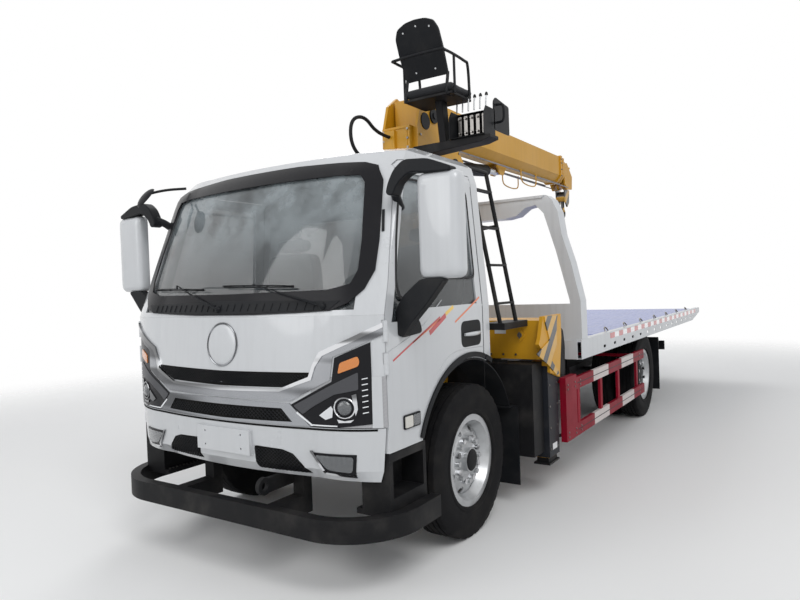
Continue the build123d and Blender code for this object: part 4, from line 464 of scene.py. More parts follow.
def woven(name, base):
    """Coarse upholstery cloth."""
    s = Shader(name, base, 0.85, 0.0, Sheen_Weight=0.2, Specular_IOR_Level=0.2)
    threads = {"Vector": s.coords, "Scale": 40.0}
    across, along = (s.node("ShaderNodeTexWave", {"bands_direction": axis}, threads)[0] for axis in "YX")
    weave = across * along
    fade = s.noise(4, detail=5)
    s.set("Base Color", s.mix(weave, shade(base, 0.8), s.mix(fade, base, shade(base, 1.5))))
    s.bump(weave, 0.0006, 0.25)
    return s.material


# Mesh making


def here(x, y, z):
    """Point given from the front axle, in the row's frame."""
    return Vector((AXLE_X + x, y, z))


def mirrored(points):
    """Half outline from the middle outwards, closed with its mirror image."""
    return list(points) + [(-a, b) for a, b in reversed(points) if abs(a) > 1e-6]


def span(side, low, high):
    """Reach across on one side of the truck, in rising order."""
    return sorted((low * side, high * side))


def shares(count):
    """Even shares from 0 to 1."""
    return [k / count for k in range(count + 1)]


def circle(count, turn=0.0):
    """Cosine and sine of even angles round a full turn."""
    return [(cos(a), sin(a)) for a in (2 * pi * k / count + turn for k in range(count))]


def placed(centre, axis, u, v, t):
    """Point at (u, v) across an axis and t along it, from a centre."""
    offset = {"x": (t, u, v), "y": (u, t, v), "z": (u, v, t)}[axis]
    return tuple(c + o for c, o in zip(centre, offset))


def arc_points(centre, radius, start, end, count):
    """Points on an arc between two angles in degrees."""
    angles = [radians(start + (end - start) * t) for t in shares(count)]
    return [(centre[0] + radius * cos(a), centre[1] + radius * sin(a)) for a in angles]


def rounded(corners, radius, steps=4):
    """Closed outline with every corner rounded."""
    out = []
    for i, corner in enumerate(corners):
        p, a, b = Vector(corner), Vector(corners[i - 1]), Vector(corners[(i + 1) % len(corners)])
        u, v = (a - p), (b - p)
        r = min(radius, u.length * 0.45, v.length * 0.45)
        start, end = p + u.normalized() * r, p + v.normalized() * r
        out += [tuple(start * (1 - t) ** 2 + p * 2 * t * (1 - t) + end * t * t) for t in shares(steps)]
    return out


def smooth_path(points, steps=6):
    """Centripetal curve through points, as a denser list."""
    pts = [Vector(p) for p in points]
    ends = [pts[0] * 2 - pts[1]] + pts + [pts[-1] * 2 - pts[-2]]
    out = []
    for i in range(1, len(ends) - 2):
        p0, p1, p2, p3 = ends[i - 1 : i + 3]
        for t in shares(steps)[:-1]:
            a = 2 * p1
            b = (p2 - p0) * t
            c = (2 * p0 - 5 * p1 + 4 * p2 - p3) * t * t
            d = (3 * p1 - p0 - 3 * p2 + p3) * t * t * t
            out.append((a + b + c + d) * 0.5)
    return out + [pts[-1]]


class Shape:
    """Closed pieces gathered into one mesh, in stations from the front axle."""

    def __init__(self):
        self.bm = bmesh.new()

    def rings(self, rings, closed=False, cap=True):
        """Skin over rings of points; each ring is a closed loop."""
        made = [[self.bm.verts.new(p) for p in ring] for ring in rings]
        n = len(made[0])
        pairs = list(zip(made, made[1:])) + ([(made[-1], made[0])] if closed else [])
        for low, high in pairs:
            for i in range(n):
                j = (i + 1) % n
                self.bm.faces.new((low[i], low[j], high[j], high[i]))
        if cap and not closed:
            self.bm.faces.new(made[0][::-1])
            self.bm.faces.new(made[-1])
        return self

    def prism(self, outline, axis, low, high):
        """Flat outline run between two stations of an axis."""
        order = {"x": (2, 0, 1), "y": (0, 2, 1), "z": (0, 1, 2)}[axis]
        rings = []
        for level in (low, high):
            rings.append([tuple((p[0], p[1], level)[k] for k in order) for p in outline])
        return self.rings(rings)

    def box(self, x, y, z):
        return self.prism([(x[0], y[0]), (x[1], y[0]), (x[1], y[1]), (x[0], y[1])], "z", z[0], z[1])

    def tube(self, path, radius, sides=12, closed=False, flat=1.0, up=None):
        """Round or flattened bar along points; radius may be a list."""
        pts = [Vector(p) for p in path]
        n = len(pts)
        rings = []
        side = None
        for i, p in enumerate(pts):
            before = pts[i - 1] if (i or closed) else p
            after = pts[(i + 1) % n] if (i < n - 1 or closed) else p
            run = (after - before).normalized()
            if side is None:
                guess = Vector(up) if up else (Vector((0, 0, 1)) if abs(run.z) < 0.9 else Vector((1, 0, 0)))
                side = run.cross(guess).normalized()
            else:
                side = (side - run * side.dot(run)).normalized()
            top = side.cross(run)
            r = radius[i] if isinstance(radius, (list, tuple)) else radius
            rings.append([p + side * (r * c) + top * (r * flat * s) for c, s in circle(sides)])
        return self.rings(rings, closed=closed)

    def lathe(self, profile, centre, segments=48, axis="y", wave=None):
        """Closed (radius, along) profile turned about an axis through centre."""
        rings = []
        for k, (c, s) in enumerate(circle(segments)):
            ring = [wave(k, i, r, t) if wave else (r, t) for i, (r, t) in enumerate(profile)]
            rings.append([placed(centre, axis, r * c, r * s, t) for r, t in ring])
        return self.rings(rings, closed=True)

    def disc(self, centre, radius, low, high, axis="y", segments=32):
        """Solid round plate between two stations of its axis."""
        rim = circle(segments)
        return self.rings([[placed(centre, axis, radius * c, radius * s, t) for c, s in rim] for t in (low, high)])

    def dome(self, centre, normal, radius, height, segments=28, steps=5):
        """Shallow closed dome standing on a point."""
        turn = Vector(normal).to_track_quat("Z", "Y")
        rings = []
        for t in shares(steps):
            a = pi / 2 * t
            r = max(radius * cos(a), radius * 0.02)
            ring = [turn @ Vector((r * c, r * s, height * sin(a))) for c, s in circle(segments)]
            rings.append([Vector(centre) + p for p in ring])
        return self.rings(rings)

    def patch(self, loops, surface, low, high, step=0.03):
        """Plate that lies on a curved surface, its outline given flat.

        surface(a, b, lift) gives the point over flat place (a, b)."""
        verts, faces, rim = fill(loops, step)
        bottom = [self.bm.verts.new(surface(a, b, low)) for a, b in verts]
        top = [self.bm.verts.new(surface(a, b, high)) for a, b in verts]
        for face in faces:
            self.bm.faces.new([top[i] for i in face])
            self.bm.faces.new([bottom[i] for i in reversed(face)])
        for i, j in rim:
            self.bm.faces.new((top[j], top[i], bottom[i], bottom[j]))
        return self

    def finish(self, name, body, paint, **rest):
        """Makes the piece, rides it on its body and gives it its finish."""
        bmesh.ops.remove_doubles(self.bm, verts=self.bm.verts[:], dist=1e-6)
        bmesh.ops.recalc_face_normals(self.bm, faces=self.bm.faces[:])
        bmesh.ops.translate(self.bm, verts=self.bm.verts[:], vec=(AXLE_X, 0, 0))
        mesh = bpy.data.meshes.new(name)
        self.bm.to_mesh(mesh)
        self.bm.free()
        return dress(mesh, name, body, paint, **rest)


def dress(mesh, name, body, paint, bevel=0.0, slot=None, levels=0, sharp=35, replaces=()):
    """Object round a mesh, with its finish, edges and body."""
    slot = slot or SLOT_OF.get(paint, paint)
    mesh.materials.clear()
    mesh.materials.append(PAINTS[paint])
    mesh.polygons.foreach_set("use_smooth", [True] * len(mesh.polygons))
    mesh.set_sharp_from_angle(angle=radians(sharp))
    piece = bpy.data.objects.new(name, mesh)
    bpy.context.scene.collection.objects.link(piece)
    if bevel:
        edge = piece.modifiers.new("edges", "BEVEL")
        edge.width, edge.segments, edge.limit_method = bevel, 2, "ANGLE"
        edge.angle_limit = radians(40)
        edge.harden_normals = True
    if levels:
        sub = piece.modifiers.new("round", "SUBSURF")
        sub.levels = sub.render_levels = levels
    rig.ride(piece, body)
    if slot in SLOTS:
        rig.slot(piece, slot)
    if replaces:
        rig.replaces(piece, *replaces)
    return piece


def sheet(name, body, paint, surface, loops, low, high, step=0.03, **rest):
    """Piece that is one plate on a curved surface, loops after the first cut out."""
    return Shape().patch(loops, surface, low, high, step).finish(name, body, paint, **rest)


def inside(point, loop):
    """Whether a flat point is inside a closed loop."""
    x, y = point
    found = False
    for (x0, y0), (x1, y1) in zip(loop, loop[1:] + loop[:1]):
        if (y0 > y) != (y1 > y) and x < (x1 - x0) * (y - y0) / (y1 - y0) + x0:
            found = not found
    return found


def fill(loops, step):
    """Triangles inside flat loops, odd ones solid and even ones holes."""
    pts, edges, dense = [], [], []
    for loop in loops:
        first = len(pts)
        ring = []
        for (x0, y0), (x1, y1) in zip(loop, loop[1:] + loop[:1]):
            n = max(1, int(hypot(x1 - x0, y1 - y0) / step + 0.5))
            ring += [(x0 + (x1 - x0) * k / n, y0 + (y1 - y0) * k / n) for k in range(n)]
        pts += ring
        dense.append(ring)
        edges += [(first + k, first + (k + 1) % len(ring)) for k in range(len(ring))]
    xs, ys = [p[0] for p in pts], [p[1] for p in pts]
    rim_points = list(pts)
    near = step * 0.55
    for i in range(int((max(xs) - min(xs)) / step) + 1):
        for j in range(int((max(ys) - min(ys)) / step) + 1):
            p = (min(xs) + (i + 0.5) * step, min(ys) + (j + 0.5) * step)
            if sum(inside(p, ring) for ring in dense) % 2 == 0:
                continue
            if all(abs(p[0] - q[0]) > near or abs(p[1] - q[1]) > near for q in rim_points):
                pts.append(p)
    out = delaunay_2d_cdt([Vector(p) for p in pts], edges, [], 0, 1e-7)
    verts = [(v.x, v.y) for v in out[0]]
    faces = []
    for face in out[2]:
        middle = (sum(verts[i][0] for i in face) / 3, sum(verts[i][1] for i in face) / 3)
        if sum(inside(middle, ring) for ring in dense) % 2:
            faces.append(list(face))
    count = {}
    for face in faces:
        for i, j in zip(face, face[1:] + face[:1]):
            count[(i, j)] = count.get((i, j), 0) + 1
    rim = [(i, j) for i, j in count if (j, i) not in count]
    return verts, faces, rim


# Cab skin: height, nose, half width and corner station of each section

CAB_SECTIONS = [
    (0.745, 1.128, 1.030, 0.938),
    (1.100, 1.136, 1.030, 0.938),
    (1.470, 1.100, 1.030, 0.938),
    (2.280, 0.816, 0.968, 0.628),
    (2.395, 0.696, 0.935, 0.518),
    (2.450, 0.476, 0.860, 0.318),
]
BUMPER_SECTIONS = [
    (0.593, 1.070, 0.980, 0.938),
    (0.653, 1.116, 1.000, 0.938),
    (0.880, 1.136, 1.024, 0.938),
]
NOSE_BOW = 0.056
NOSE_FLAT_SHARE = 0.63
SKIN_HALVINGS = 18


def corner_arc(front, half, corner):
    """Centre, radius and end angles of a section's rounded corner."""
    a = Vector((front - NOSE_BOW, half * NOSE_FLAT_SHARE))
    c = Vector((corner, half))
    b = Vector(((a.x + c.x) / 2 + 0.018, (a.y + c.y) / 2 + 0.030))
    d = 2 * (a.x * (b.y - c.y) + b.x * (c.y - a.y) + c.x * (a.y - b.y))
    sa, sb, sc = a.length_squared, b.length_squared, c.length_squared
    x = (sa * (b.y - c.y) + sb * (c.y - a.y) + sc * (a.y - b.y)) / d
    y = (sa * (c.x - b.x) + sb * (a.x - c.x) + sc * (b.x - a.x)) / d
    return x, y, hypot(a.x - x, a.y - y), atan2(a.y - y, a.x - x), atan2(c.y - y, c.x - x)


def blend(first, last, t):
    """Flat place a share of the way between two others."""
    return [a + (b - a) * t for a, b in zip(first, last)]


def bracket(z, sections):
    """Sections below and above a height, and its share of the way between them."""
    z = min(max(z, sections[0][0]), sections[-1][0])
    k = max(i for i in range(len(sections) - 1) if z >= sections[i][0])
    low, high = sections[k], sections[k + 1]
    return low, high, (z - low[0]) / (high[0] - low[0])


def skin_x(y, z, sections):
    """Station of the nose skin over a place seen from the front."""
    low, high, f = bracket(z, sections)
    front, half = blend(low[1:3], high[1:3], f)
    flat = half * NOSE_FLAT_SHARE
    y = min(abs(y), half * 0.9995)
    if y <= flat:
        return front - NOSE_BOW * (y / flat) ** 2
    arcs = [corner_arc(*s[1:]) for s in (low, high)]

    def place(t):
        turns = [start + (end - start) * t for _, _, _, start, end in arcs]
        return blend(*((x0 + r * cos(a), y0 + r * sin(a)) for a, (x0, y0, r, _, _) in zip(turns, arcs)), f)

    t0, t1 = 0.0, 1.0
    for _ in range(SKIN_HALVINGS):
        mid = (t0 + t1) / 2
        if place(mid)[1] < y:
            t0 = mid
        else:
            t1 = mid
    return place(t0)[0]


def skin_point(y, z, lift, sections):
    """Point over the nose skin, lifted along its normal."""
    e = 0.004
    sy = -1 if y < 0 else 1
    x = skin_x(y, z, sections)
    slope_y = (skin_x(abs(y) + e, z, sections) - skin_x(max(abs(y) - e, 0), z, sections)) / (2 * e) * sy
    slope_z = (skin_x(y, z + e, sections) - skin_x(y, z - e, sections)) / (2 * e)
    slope_y = max(-6.0, min(6.0, slope_y))
    normal = Vector((1, -slope_y, -slope_z)).normalized()
    return Vector((x, y, z)) + normal * lift


def nose(y, z, lift):
    return skin_point(y, z, lift, CAB_SECTIONS)


def bumper(y, z, lift):
    return skin_point(y, z, lift, BUMPER_SECTIONS)


def one_side(surface, side):
    """Front surface with the places of one side given as positive."""
    return lambda y, z, lift: surface(y * side, z, lift)


def half_width(z):
    """Half width of the cab at a height."""
    low, high, f = bracket(z, CAB_SECTIONS)
    return low[2] + (high[2] - low[2]) * f


def flank(side):
    """Surface of the cab's side, its places given as station and height."""

    def surface(x, z, lift):
        slope = (half_width(z + 0.01) - half_width(z - 0.01)) / 0.02
        normal = Vector((0, 1, -slope)).normalized()
        p = Vector((x, half_width(z), z)) + normal * lift
        return Vector((p.x, p.y * side, p.z))

    return surface


def lattice(shape, loop, surface, lift, pitch, wire, slope=1.0):
    """Diamond mesh of thin wires inside a flat loop."""
    xs, ys = [p[0] for p in loop], [p[1] for p in loop]
    tall = max(ys) - min(ys)
    reach = tall / slope
    steps = max(6, int(tall / 0.012))
    start = min(xs) - reach
    for leans_back in (False, True):
        for k in range(int((max(xs) - start + reach) / pitch)):
            run = []
            for t in shares(steps):
                x = start + k * pitch + reach * (1 - t if leans_back else t)
                found = inside((x, min(ys) + tall * t), loop)
                if found:
                    run.append(surface(x, min(ys) + tall * t, lift))
                if run and (not found or t == 1):
                    if len(run) > 1:
                        shape.tube(run, wire, 4)
                    run = []
    return shape


# Geometry Nodes


def bolt_tree():
    """Node tree that stands one bolt head on every point."""
    tree = bpy.data.node_groups.new("bolt heads", "GeometryNodeTree")
    sockets = (
        ("Geometry", "INPUT", "Geometry"), ("Radius", "INPUT", "Float"), ("Height", "INPUT", "Float"),
        ("Sides", "INPUT", "Int"), ("Finish", "INPUT", "Material"), ("Geometry", "OUTPUT", "Geometry"),
    )
    for name, way, kind in sockets:
        tree.interface.new_socket(name, in_out=way, socket_type="NodeSocket" + kind)
    kinds = {
        "in": "NodeGroupInput",
        "head": "GeometryNodeMeshCylinder",
        "face": "GeometryNodeInputNamedAttribute",
        "turn": "FunctionNodeAlignRotationToVector",
        "stand": "GeometryNodeInstanceOnPoints",
        "real": "GeometryNodeRealizeInstances",
        "paint": "GeometryNodeSetMaterial",
        "out": "NodeGroupOutput",
    }
    made = {key: tree.nodes.new(kind) for key, kind in kinds.items()}
    made["face"].data_type = "FLOAT_VECTOR"
    made["face"].inputs["Name"].default_value = "facing"
    made["turn"].axis = "Z"
    links = (
        ("in", "Geometry", "stand", "Points"),
        ("in", "Sides", "head", "Vertices"),
        ("in", "Radius", "head", "Radius"),
        ("in", "Height", "head", "Depth"),
        ("head", "Mesh", "stand", "Instance"),
        ("face", "Attribute", "turn", "Vector"),
        ("turn", "Rotation", "stand", "Rotation"),
        ("stand", "Instances", "real", "Geometry"),
        ("real", "Geometry", "paint", "Geometry"),
        ("in", "Finish", "paint", "Material"),
        ("paint", "Geometry", "out", "Geometry"),
    )
    for a, a_name, b, b_name in links:
        tree.links.new(made[a].outputs[a_name], made[b].inputs[b_name])
    return tree


def bolts(name, body, places, radius, height, paint, sides=6, slot=None):
    """Bolt heads on (point, direction) places, made by the node tree."""
    tree = bpy.data.node_groups.get("bolt heads") or bolt_tree()
    mesh = bpy.data.meshes.new(name + "_points")
    mesh.from_pydata([here(*p) for p, _ in places], [], [])
    facing = mesh.attributes.new("facing", "FLOAT_VECTOR", "POINT")
    facing.data.foreach_set("vector", [c for _, d in places for c in Vector(d).normalized()])
    points = bpy.data.objects.new(name + "_points", mesh)
    bpy.context.scene.collection.objects.link(points)
    modifier = points.modifiers.new("heads", "NODES")
    modifier.node_group = tree
    values = {"Radius": radius, "Height": height * 2, "Sides": sides, "Finish": PAINTS[paint]}
    for item in tree.interface.items_tree:
        if item.in_out == "INPUT" and item.name in values:
            modifier[item.identifier] = values[item.name]
    graph = bpy.context.evaluated_depsgraph_get()
    made = bpy.data.meshes.new_from_object(points.evaluated_get(graph))
    bpy.data.objects.remove(points)
    bpy.data.meshes.remove(mesh)
    return dress(made, name, body, paint, slot=slot)


# Paints and finishes


class TruckFinishes(bpy.types.PropertyGroup):
    """Colours of the truck's finishes, in linear values."""

    cab: FloatVectorProperty(
        name="Cab paint", description="Colour of the cab, bumper and mirrors", subtype="COLOR",
        default=(0.545, 0.56, 0.575), min=0, max=1,
    )
    crane: FloatVectorProperty(
        name="Crane paint", description="Colour of the crane and its housing", subtype="COLOR",
        default=(0.62, 0.31, 0.006), min=0, max=1,
    )
    guard: FloatVectorProperty(
        name="Guard red", description="Red of the side guards", subtype="COLOR",
        default=(0.25, 0.004, 0.018), min=0, max=1,
    )
    film: FloatVectorProperty(
        name="Deck film", description="Film over the flat bed", subtype="COLOR",
        default=(0.130, 0.170, 0.430), min=0, max=1,
    )


class TruckSizes(bpy.types.PropertyGroup):
    """Sizes of the dressing that a user may change."""

    tread_depth: FloatProperty(
        name="Tread depth", description="Depth of the tyres' grooves", unit="LENGTH", default=0.011,
        min=0.004, max=0.016,
    )
    rib_waves: IntProperty(
        name="Rib waves", description="Waves of a tread groove round the tyre", default=36, min=24, max=48,
    )
    mesh_pitch: FloatProperty(
        name="Grille mesh", description="Pitch of the grille's diamond mesh", unit="LENGTH", default=0.021,
        min=0.014, max=0.05,
    )
    tape_band: FloatProperty(
        name="Reflector length", description="Length of one colour on the bed's reflectors", unit="LENGTH",
        default=0.15, min=0.1, max=0.4,
    )


PAINTS = {}


def make_finishes(_):
    """All finishes, then those of the record's own slots on the packed nodes."""
    f = bpy.context.scene.tow_truck_finishes
    cab, crane, guard, film = (tuple(c) for c in (f.cab, f.crane, f.guard, f.film))
    PAINTS.update(
        cab_white=painted("cab_paint", cab, 0.26, 0.8, 0.12),
        bed_white=painted("bed_paint", (0.60, 0.62, 0.64), 0.42, 0.3, 0.3, streaks=0.09),
        crane_yellow=painted("crane_paint", crane, 0.42, 0.08, 0.22, (0.26, 0.14, 0.03), 0.08),
        guard_red_white=banded_guard("guard_paint", guard, (0.66, 0.60, 0.58), -1.400, 0.4534),
        chassis_black=moulded("chassis_paint", (0.010, 0.010, 0.011), 0.5, 220, 0.0008, 0.35),
        trim_black=moulded("trim_plastic", (0.010, 0.011, 0.013), 0.42),
        lamp=lens("lamp_lens", (0.30, 0.30, 0.31)),
        guard_post=moulded("guard_post_paint", guard, 0.5, 300, 0.0001, 0.1),
        leg_face=moulded("leg_face_paint", (0.018, 0.020, 0.025), 0.4, 300, 0.0003, 0.3),
        # Bright chrome and the satin band below carry strong painted reflection bands.
        chrome=metal("bright_chrome", (0.72, 0.73, 0.75), 0.06, grime=0.08, painted_reflection=0.85, grain=0.05),
        glass=pane("window_glass", (0.055, 0.065, 0.070), 0.40),
        rubber=rubber("tyre_rubber"),
        wheel_silver=metal("wheel_paint", (0.50, 0.51, 0.52), 0.30, grime=0.6, metallic=0.75),
        cast_iron=metal("cast_iron", (0.10, 0.10, 0.105), 0.6, grime=0.5, metallic=0.6),
        engine_grey=metal("engine_alloy", (0.34, 0.35, 0.36), 0.55, grime=0.5, metallic=0.7),
        seat_cloth=woven("seat_cloth_weave", (0.022, 0.023, 0.026)),
        deck_film=film_deck("deck_film_paint", film, (0.22, 0.23, 0.27)),
        steel=metal("ground_steel", (0.50, 0.51, 0.52), 0.24, (1, 30, 1), 0.25),
        mirror_shell=painted("mirror_paint", cab, 0.3, 0.7, 0.08),
        hose=rubber("hose_rubber", (0.018, 0.018, 0.019), 0.5, 0.3),
        mirror_face=metal("mirror_face", (0.60, 0.66, 0.74), 0.04, grime=0.05),
        surround=moulded("windscreen_surround", (0.012, 0.012, 0.014), 0.22, 600, 0.0002, 0.06),
        grey_band=metal("satin_band", (0.36, 0.37, 0.39), 0.16, grime=0.1, metallic=0.9, painted_reflection=0.8, grain=0.1),
        # Near-black finish of painted shade, for sheets behind the meshes and the shadow strip above the bumper.
        void=moulded("grille_void", (0.004, 0.004, 0.004), 0.8),
        clear_lens=lens("clear_lens", (0.16, 0.17, 0.18), 0.5),
        lamp_shell=moulded("lamp_shell", (0.075, 0.076, 0.082), 0.3, 300, 0.0001, 0.05),
        pearl_lens=lens("pearl_lens", (0.55, 0.53, 0.48)),
        white_lens=lens("white_lens", (0.78, 0.80, 0.82)),
        amber_lens=lens("amber_lens", (0.55, 0.17, 0.02)),
        red_lens=lens("red_lens", (0.45, 0.008, 0.010)),
        blank_white=moulded("blank_plate", (0.74, 0.75, 0.75), 0.35, 300, 0.0001, 0.1),
        stripe_red=painted("stripe_red", (0.50, 0.030, 0.035), 0.3, 0.7, 0.1),
        stripe_orange=painted("stripe_orange", (0.75, 0.17, 0.05), 0.3, 0.7, 0.1),
        stripe_yellow=painted("stripe_yellow", (0.85, 0.55, 0.08), 0.3, 0.7, 0.1),
        shut_line=rubber("shut_line_seal", (0.012, 0.012, 0.013), 0.7, 0.2),
        hazard=hazard("hazard_bands", (0.62, 0.33, 0.012), (0.02, 0.02, 0.02), 0.20),
        rope=metal("wire_rope", (0.26, 0.26, 0.27), 0.4, (1, 1, 1), 0.4),
        grease=metal("greased_steel", (0.22, 0.21, 0.20), 0.3, grime=0.6),
        dashboard=moulded("dashboard_plastic", (0.045, 0.047, 0.052), 0.55),
        cab_lining=woven("cab_lining", (0.10, 0.10, 0.10)),
        lever_grip=moulded("lever_grip", (0.022, 0.022, 0.022), 0.35),
    )
    for thing in NODES.values():
        for slot in thing.material_slots:
            key = slot.material.name.split(".")[0] if slot.material else ""
            name = next((s for s in SLOTS if key == s or key.endswith(s)), None)
            if name:
                slot.material = PAINTS[name]


def operator(make):
    """Operator class for one piece or group of like pieces, named after its function."""

    def execute(self, context):
        make(context.scene.tow_truck_sizes)
        return {"FINISHED"}

    key = make.__name__.removeprefix("make_")
    label = key.replace("_", " ").capitalize()
    names = {"bl_idname": "tow_truck." + key, "bl_label": label, "__doc__": make.__doc__, "execute": execute}
    return type("TRUCK_OT_" + key, (bpy.types.Operator,), names)


# Camera and stage

EYE = (3.65292, 2.93525, 1.60452)
YAW, PITCH, ROLL = 3.7272956, -0.0189358, -0.0368108
LENS = 28.97
LAMP_SIZE = 6.0


def make_camera(_):
    """Camera at the photograph's viewing angle."""
    ahead = Vector((cos(YAW) * cos(PITCH), sin(YAW) * cos(PITCH), sin(PITCH)))
    right = ahead.cross(Vector((0, 0, 1))).normalized()
    up = right.cross(ahead)
    across = right * cos(ROLL) + up * sin(ROLL)
    upright = up * cos(ROLL) - right * sin(ROLL)
    data = bpy.data.cameras.new("camera")
    data.lens, data.sensor_width = LENS, 36
    camera = bpy.data.objects.new("camera", data)
    bpy.context.scene.collection.objects.link(camera)
    turn = Matrix((across, upright, -ahead)).transposed().to_4x4()
    camera.matrix_world = Matrix.Translation(here(*EYE)) @ turn
    bpy.context.scene.camera = camera


def make_stage(_):
    """Pale floor, soft lamps and a white surround."""
    scene = bpy.context.scene
    scene.view_settings.view_transform = "Standard"
    world = bpy.data.worlds.new("studio")
    scene.world = world
    world.use_nodes = True
    tree = world.node_tree
    tree.nodes.clear()
    kinds = ("LightPath", "Background", "Background", "Math", "Math", "MixShader", "OutputWorld")
    path, soft, white, either, all_three, either_shader, out = (tree.nodes.new("ShaderNode" + k) for k in kinds)
    soft.inputs[0].default_value, soft.inputs[1].default_value = (0.94, 0.96, 1.0, 1), 0.50
    white.inputs[0].default_value, white.inputs[1].default_value = (1, 1, 1, 1), 1.0
    either.operation = all_three.operation = "MAXIMUM"
    for source, socket, target, place in (
        (path, "Is Camera Ray", either, 0), (path, "Is Glossy Ray", either, 1), (either, 0, all_three, 0),
        (path, "Is Transmission Ray", all_three, 1), (all_three, 0, either_shader, 0), (soft, 0, either_shader, 1),
        (white, 0, either_shader, 2), (either_shader, 0, out, 0),
    ):
        tree.links.new(source.outputs[socket], target.inputs[place])
    ground = Shader("pale_floor", (0.80, 0.80, 0.79), 0.75)
    ground.set("Base Color", ground.mix(ground.noise(1.3, detail=4) * 0.2, (0.90, 0.90, 0.89), (0.86, 0.86, 0.85)))
    x, y = ground.xyz()[:2]
    reach = ((x - 1.5) * (x - 1.5) * 0.6 + y * y).smooth(20.0, 110.0)
    ground.set("Alpha", reach * -1.0 + 1.0)
    bm = bmesh.new()
    bmesh.ops.create_grid(bm, x_segments=8, y_segments=8, size=60)
    mesh = bpy.data.meshes.new("floor")
    bm.to_mesh(mesh)
    bm.free()
    mesh.materials.append(ground.material)
    floor = bpy.data.objects.new("floor", mesh)
    scene.collection.objects.link(floor)
    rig.stage(floor)
    lamps = (
        ("key_lamp", (4.5, 6.5, 8.5), (-1.5, 0, 1.2), 470),
        ("fill_lamp", (8.5, -3.5, 5.0), (0, 0, 1.2), 190),
        ("back_lamp", (-9.0, -6.0, 8.0), (-3.0, 0, 1.5), 330),
    )
    for name, place, aim, power in lamps:
        data = bpy.data.lights.new(name, "AREA")
        data.shape, data.size, data.energy = "DISK", LAMP_SIZE, power
        lamp = bpy.data.objects.new(name, data)
        scene.collection.objects.link(lamp)
        lamp.location = here(*place)
        lamp.rotation_euler = (here(*place) - here(*aim)).to_track_quat("Z", "Y").to_euler()


HOSE_ROUTE = (
    (-0.7736, 2.850), (-0.600, 2.850), (-0.440, 2.960), (-0.260, 2.900), (-0.250, 2.700), (-0.420, 2.600),
    (-0.600, 2.640), (-0.7736, 2.640),
)
HOSE_Y = -0.050
HOSE_DIAMETER = 0.028
HOSE_LENGTH = 1.25


def make_hoses(_):
    """Sleeved hose bundle that loops forwards from the turret and back."""
    data = bpy.data.curves.new("crane_hose", "CURVE")
    data.dimensions = "3D"
    data.bevel_depth = HOSE_DIAMETER / 2
    data.bevel_resolution = 5
    data.resolution_u = 10
    data.use_fill_caps = True
    spline = data.splines.new("NURBS")
    spline.points.add(len(HOSE_ROUTE) - 1)
    for point, (x, z) in zip(spline.points, HOSE_ROUTE):
        point.co = (*here(x, HOSE_Y, z), 1)
    spline.order_u = 3
    spline.use_endpoint_u = True
    data.materials.append(PAINTS["hose"])
    hose = bpy.data.objects.new("crane_hose", data)
    bpy.context.scene.collection.objects.link(hose)
    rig.ride(hose, "crane_turret")
    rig.slot(hose, "hose")
    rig.replaces(hose, "crane_hoses")
    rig.cord(
        hose, exit=tuple(here(HOSE_ROUTE[0][0], HOSE_Y, HOSE_ROUTE[0][1])), length=HOSE_LENGTH,
        diameter=HOSE_DIAMETER, far_end="object", stiffness="stiff", lay="hanging",
    )


# Tyres and wheels

GROOVE_IN, GROOVE_OUT = (0.060, 0.012), (0.096, 0.009)
BOLT_CIRCLE_R = 0.1375
HUB_R = 0.090
NUT_INSET = 0.05


def tyre_profile(outer_y, toward, depth):
    """Tyre section as (radius, across) from the outer bead over the tread."""
    half = [
        (0.292, 0.016), (0.300, 0.006), (0.318, 0.004), (0.326, 0.0075), (0.342, 0.0055),
        (0.372, 0.0012), (0.400, 0.0), (0.425, 0.0022), (0.446, 0.0085), (0.452, 0.0100),
        (0.462, 0.0120), (0.474, 0.0155), (0.4825, 0.0200), (0.4848, 0.0260),
    ]
    tread = []
    far_grooves = [(TYRE_WIDTH - centre, width) for centre, width in (GROOVE_OUT, GROOVE_IN)]
    for centre, width in [GROOVE_IN, GROOVE_OUT] + far_grooves:
        crown = TYRE_R - 0.0005 - 0.004 * ((centre - TYRE_WIDTH / 2) / (TYRE_WIDTH / 2)) ** 2
        tread += [
            (crown, centre - width / 2), (crown - depth, centre - width / 2 + 0.001),
            (crown - depth, centre + width / 2 - 0.001), (crown, centre + width / 2),
        ]
    outside = half + tread + [(r, TYRE_WIDTH - t) for r, t in reversed(half)]
    inside_face = [(0.288, TYRE_WIDTH - 0.024), (0.288, 0.024)]
    return [(r, outer_y - toward * t) for r, t in outside + inside_face], len(half), len(tread)


def make_tyre(name, body, centre_x, outer_y, toward, sizes, replaces):
    """Truck tyre with zigzag grooves and shoulder slots."""
    profile, rim_count, tread_count = tyre_profile(outer_y * toward, toward, sizes.tread_depth)
    zigzag = (0.0, 0.0022, 0.0, -0.0022)
    tread_end = rim_count + tread_count

    def wave(k, i, r, t):
        if rim_count <= i < tread_end:
            t += zigzag[k % 4] * toward
        if k % 4 == 0 and (rim_count - 4 <= i < rim_count or tread_end <= i < tread_end + 4):
            r -= 0.0065
        return r, t

    shape = Shape().lathe(profile, (centre_x, 0, TYRE_R), sizes.rib_waves * 4, "y", wave)
    shape.finish(name, body, "rubber", sharp=28, replaces=replaces)


def make_tyres(sizes):
    """Steer tyres and twin drive tyres with their tread."""
    for side, name in SIDES:
        front, rear = "wheel_front_" + name, "wheels_rear_" + name
        make_tyre("tread_front_" + name, front, 0, FRONT_FACE_Y, side, sizes, ["tyre_front_" + name])
        make_tyre("tread_outer_" + name, rear, REAR_X, REAR_FACE_Y, side, sizes, ["tyres_rear_" + name])
        make_tyre("tread_inner_" + name, rear, REAR_X, TWIN_FACE_Y, side, sizes, [])


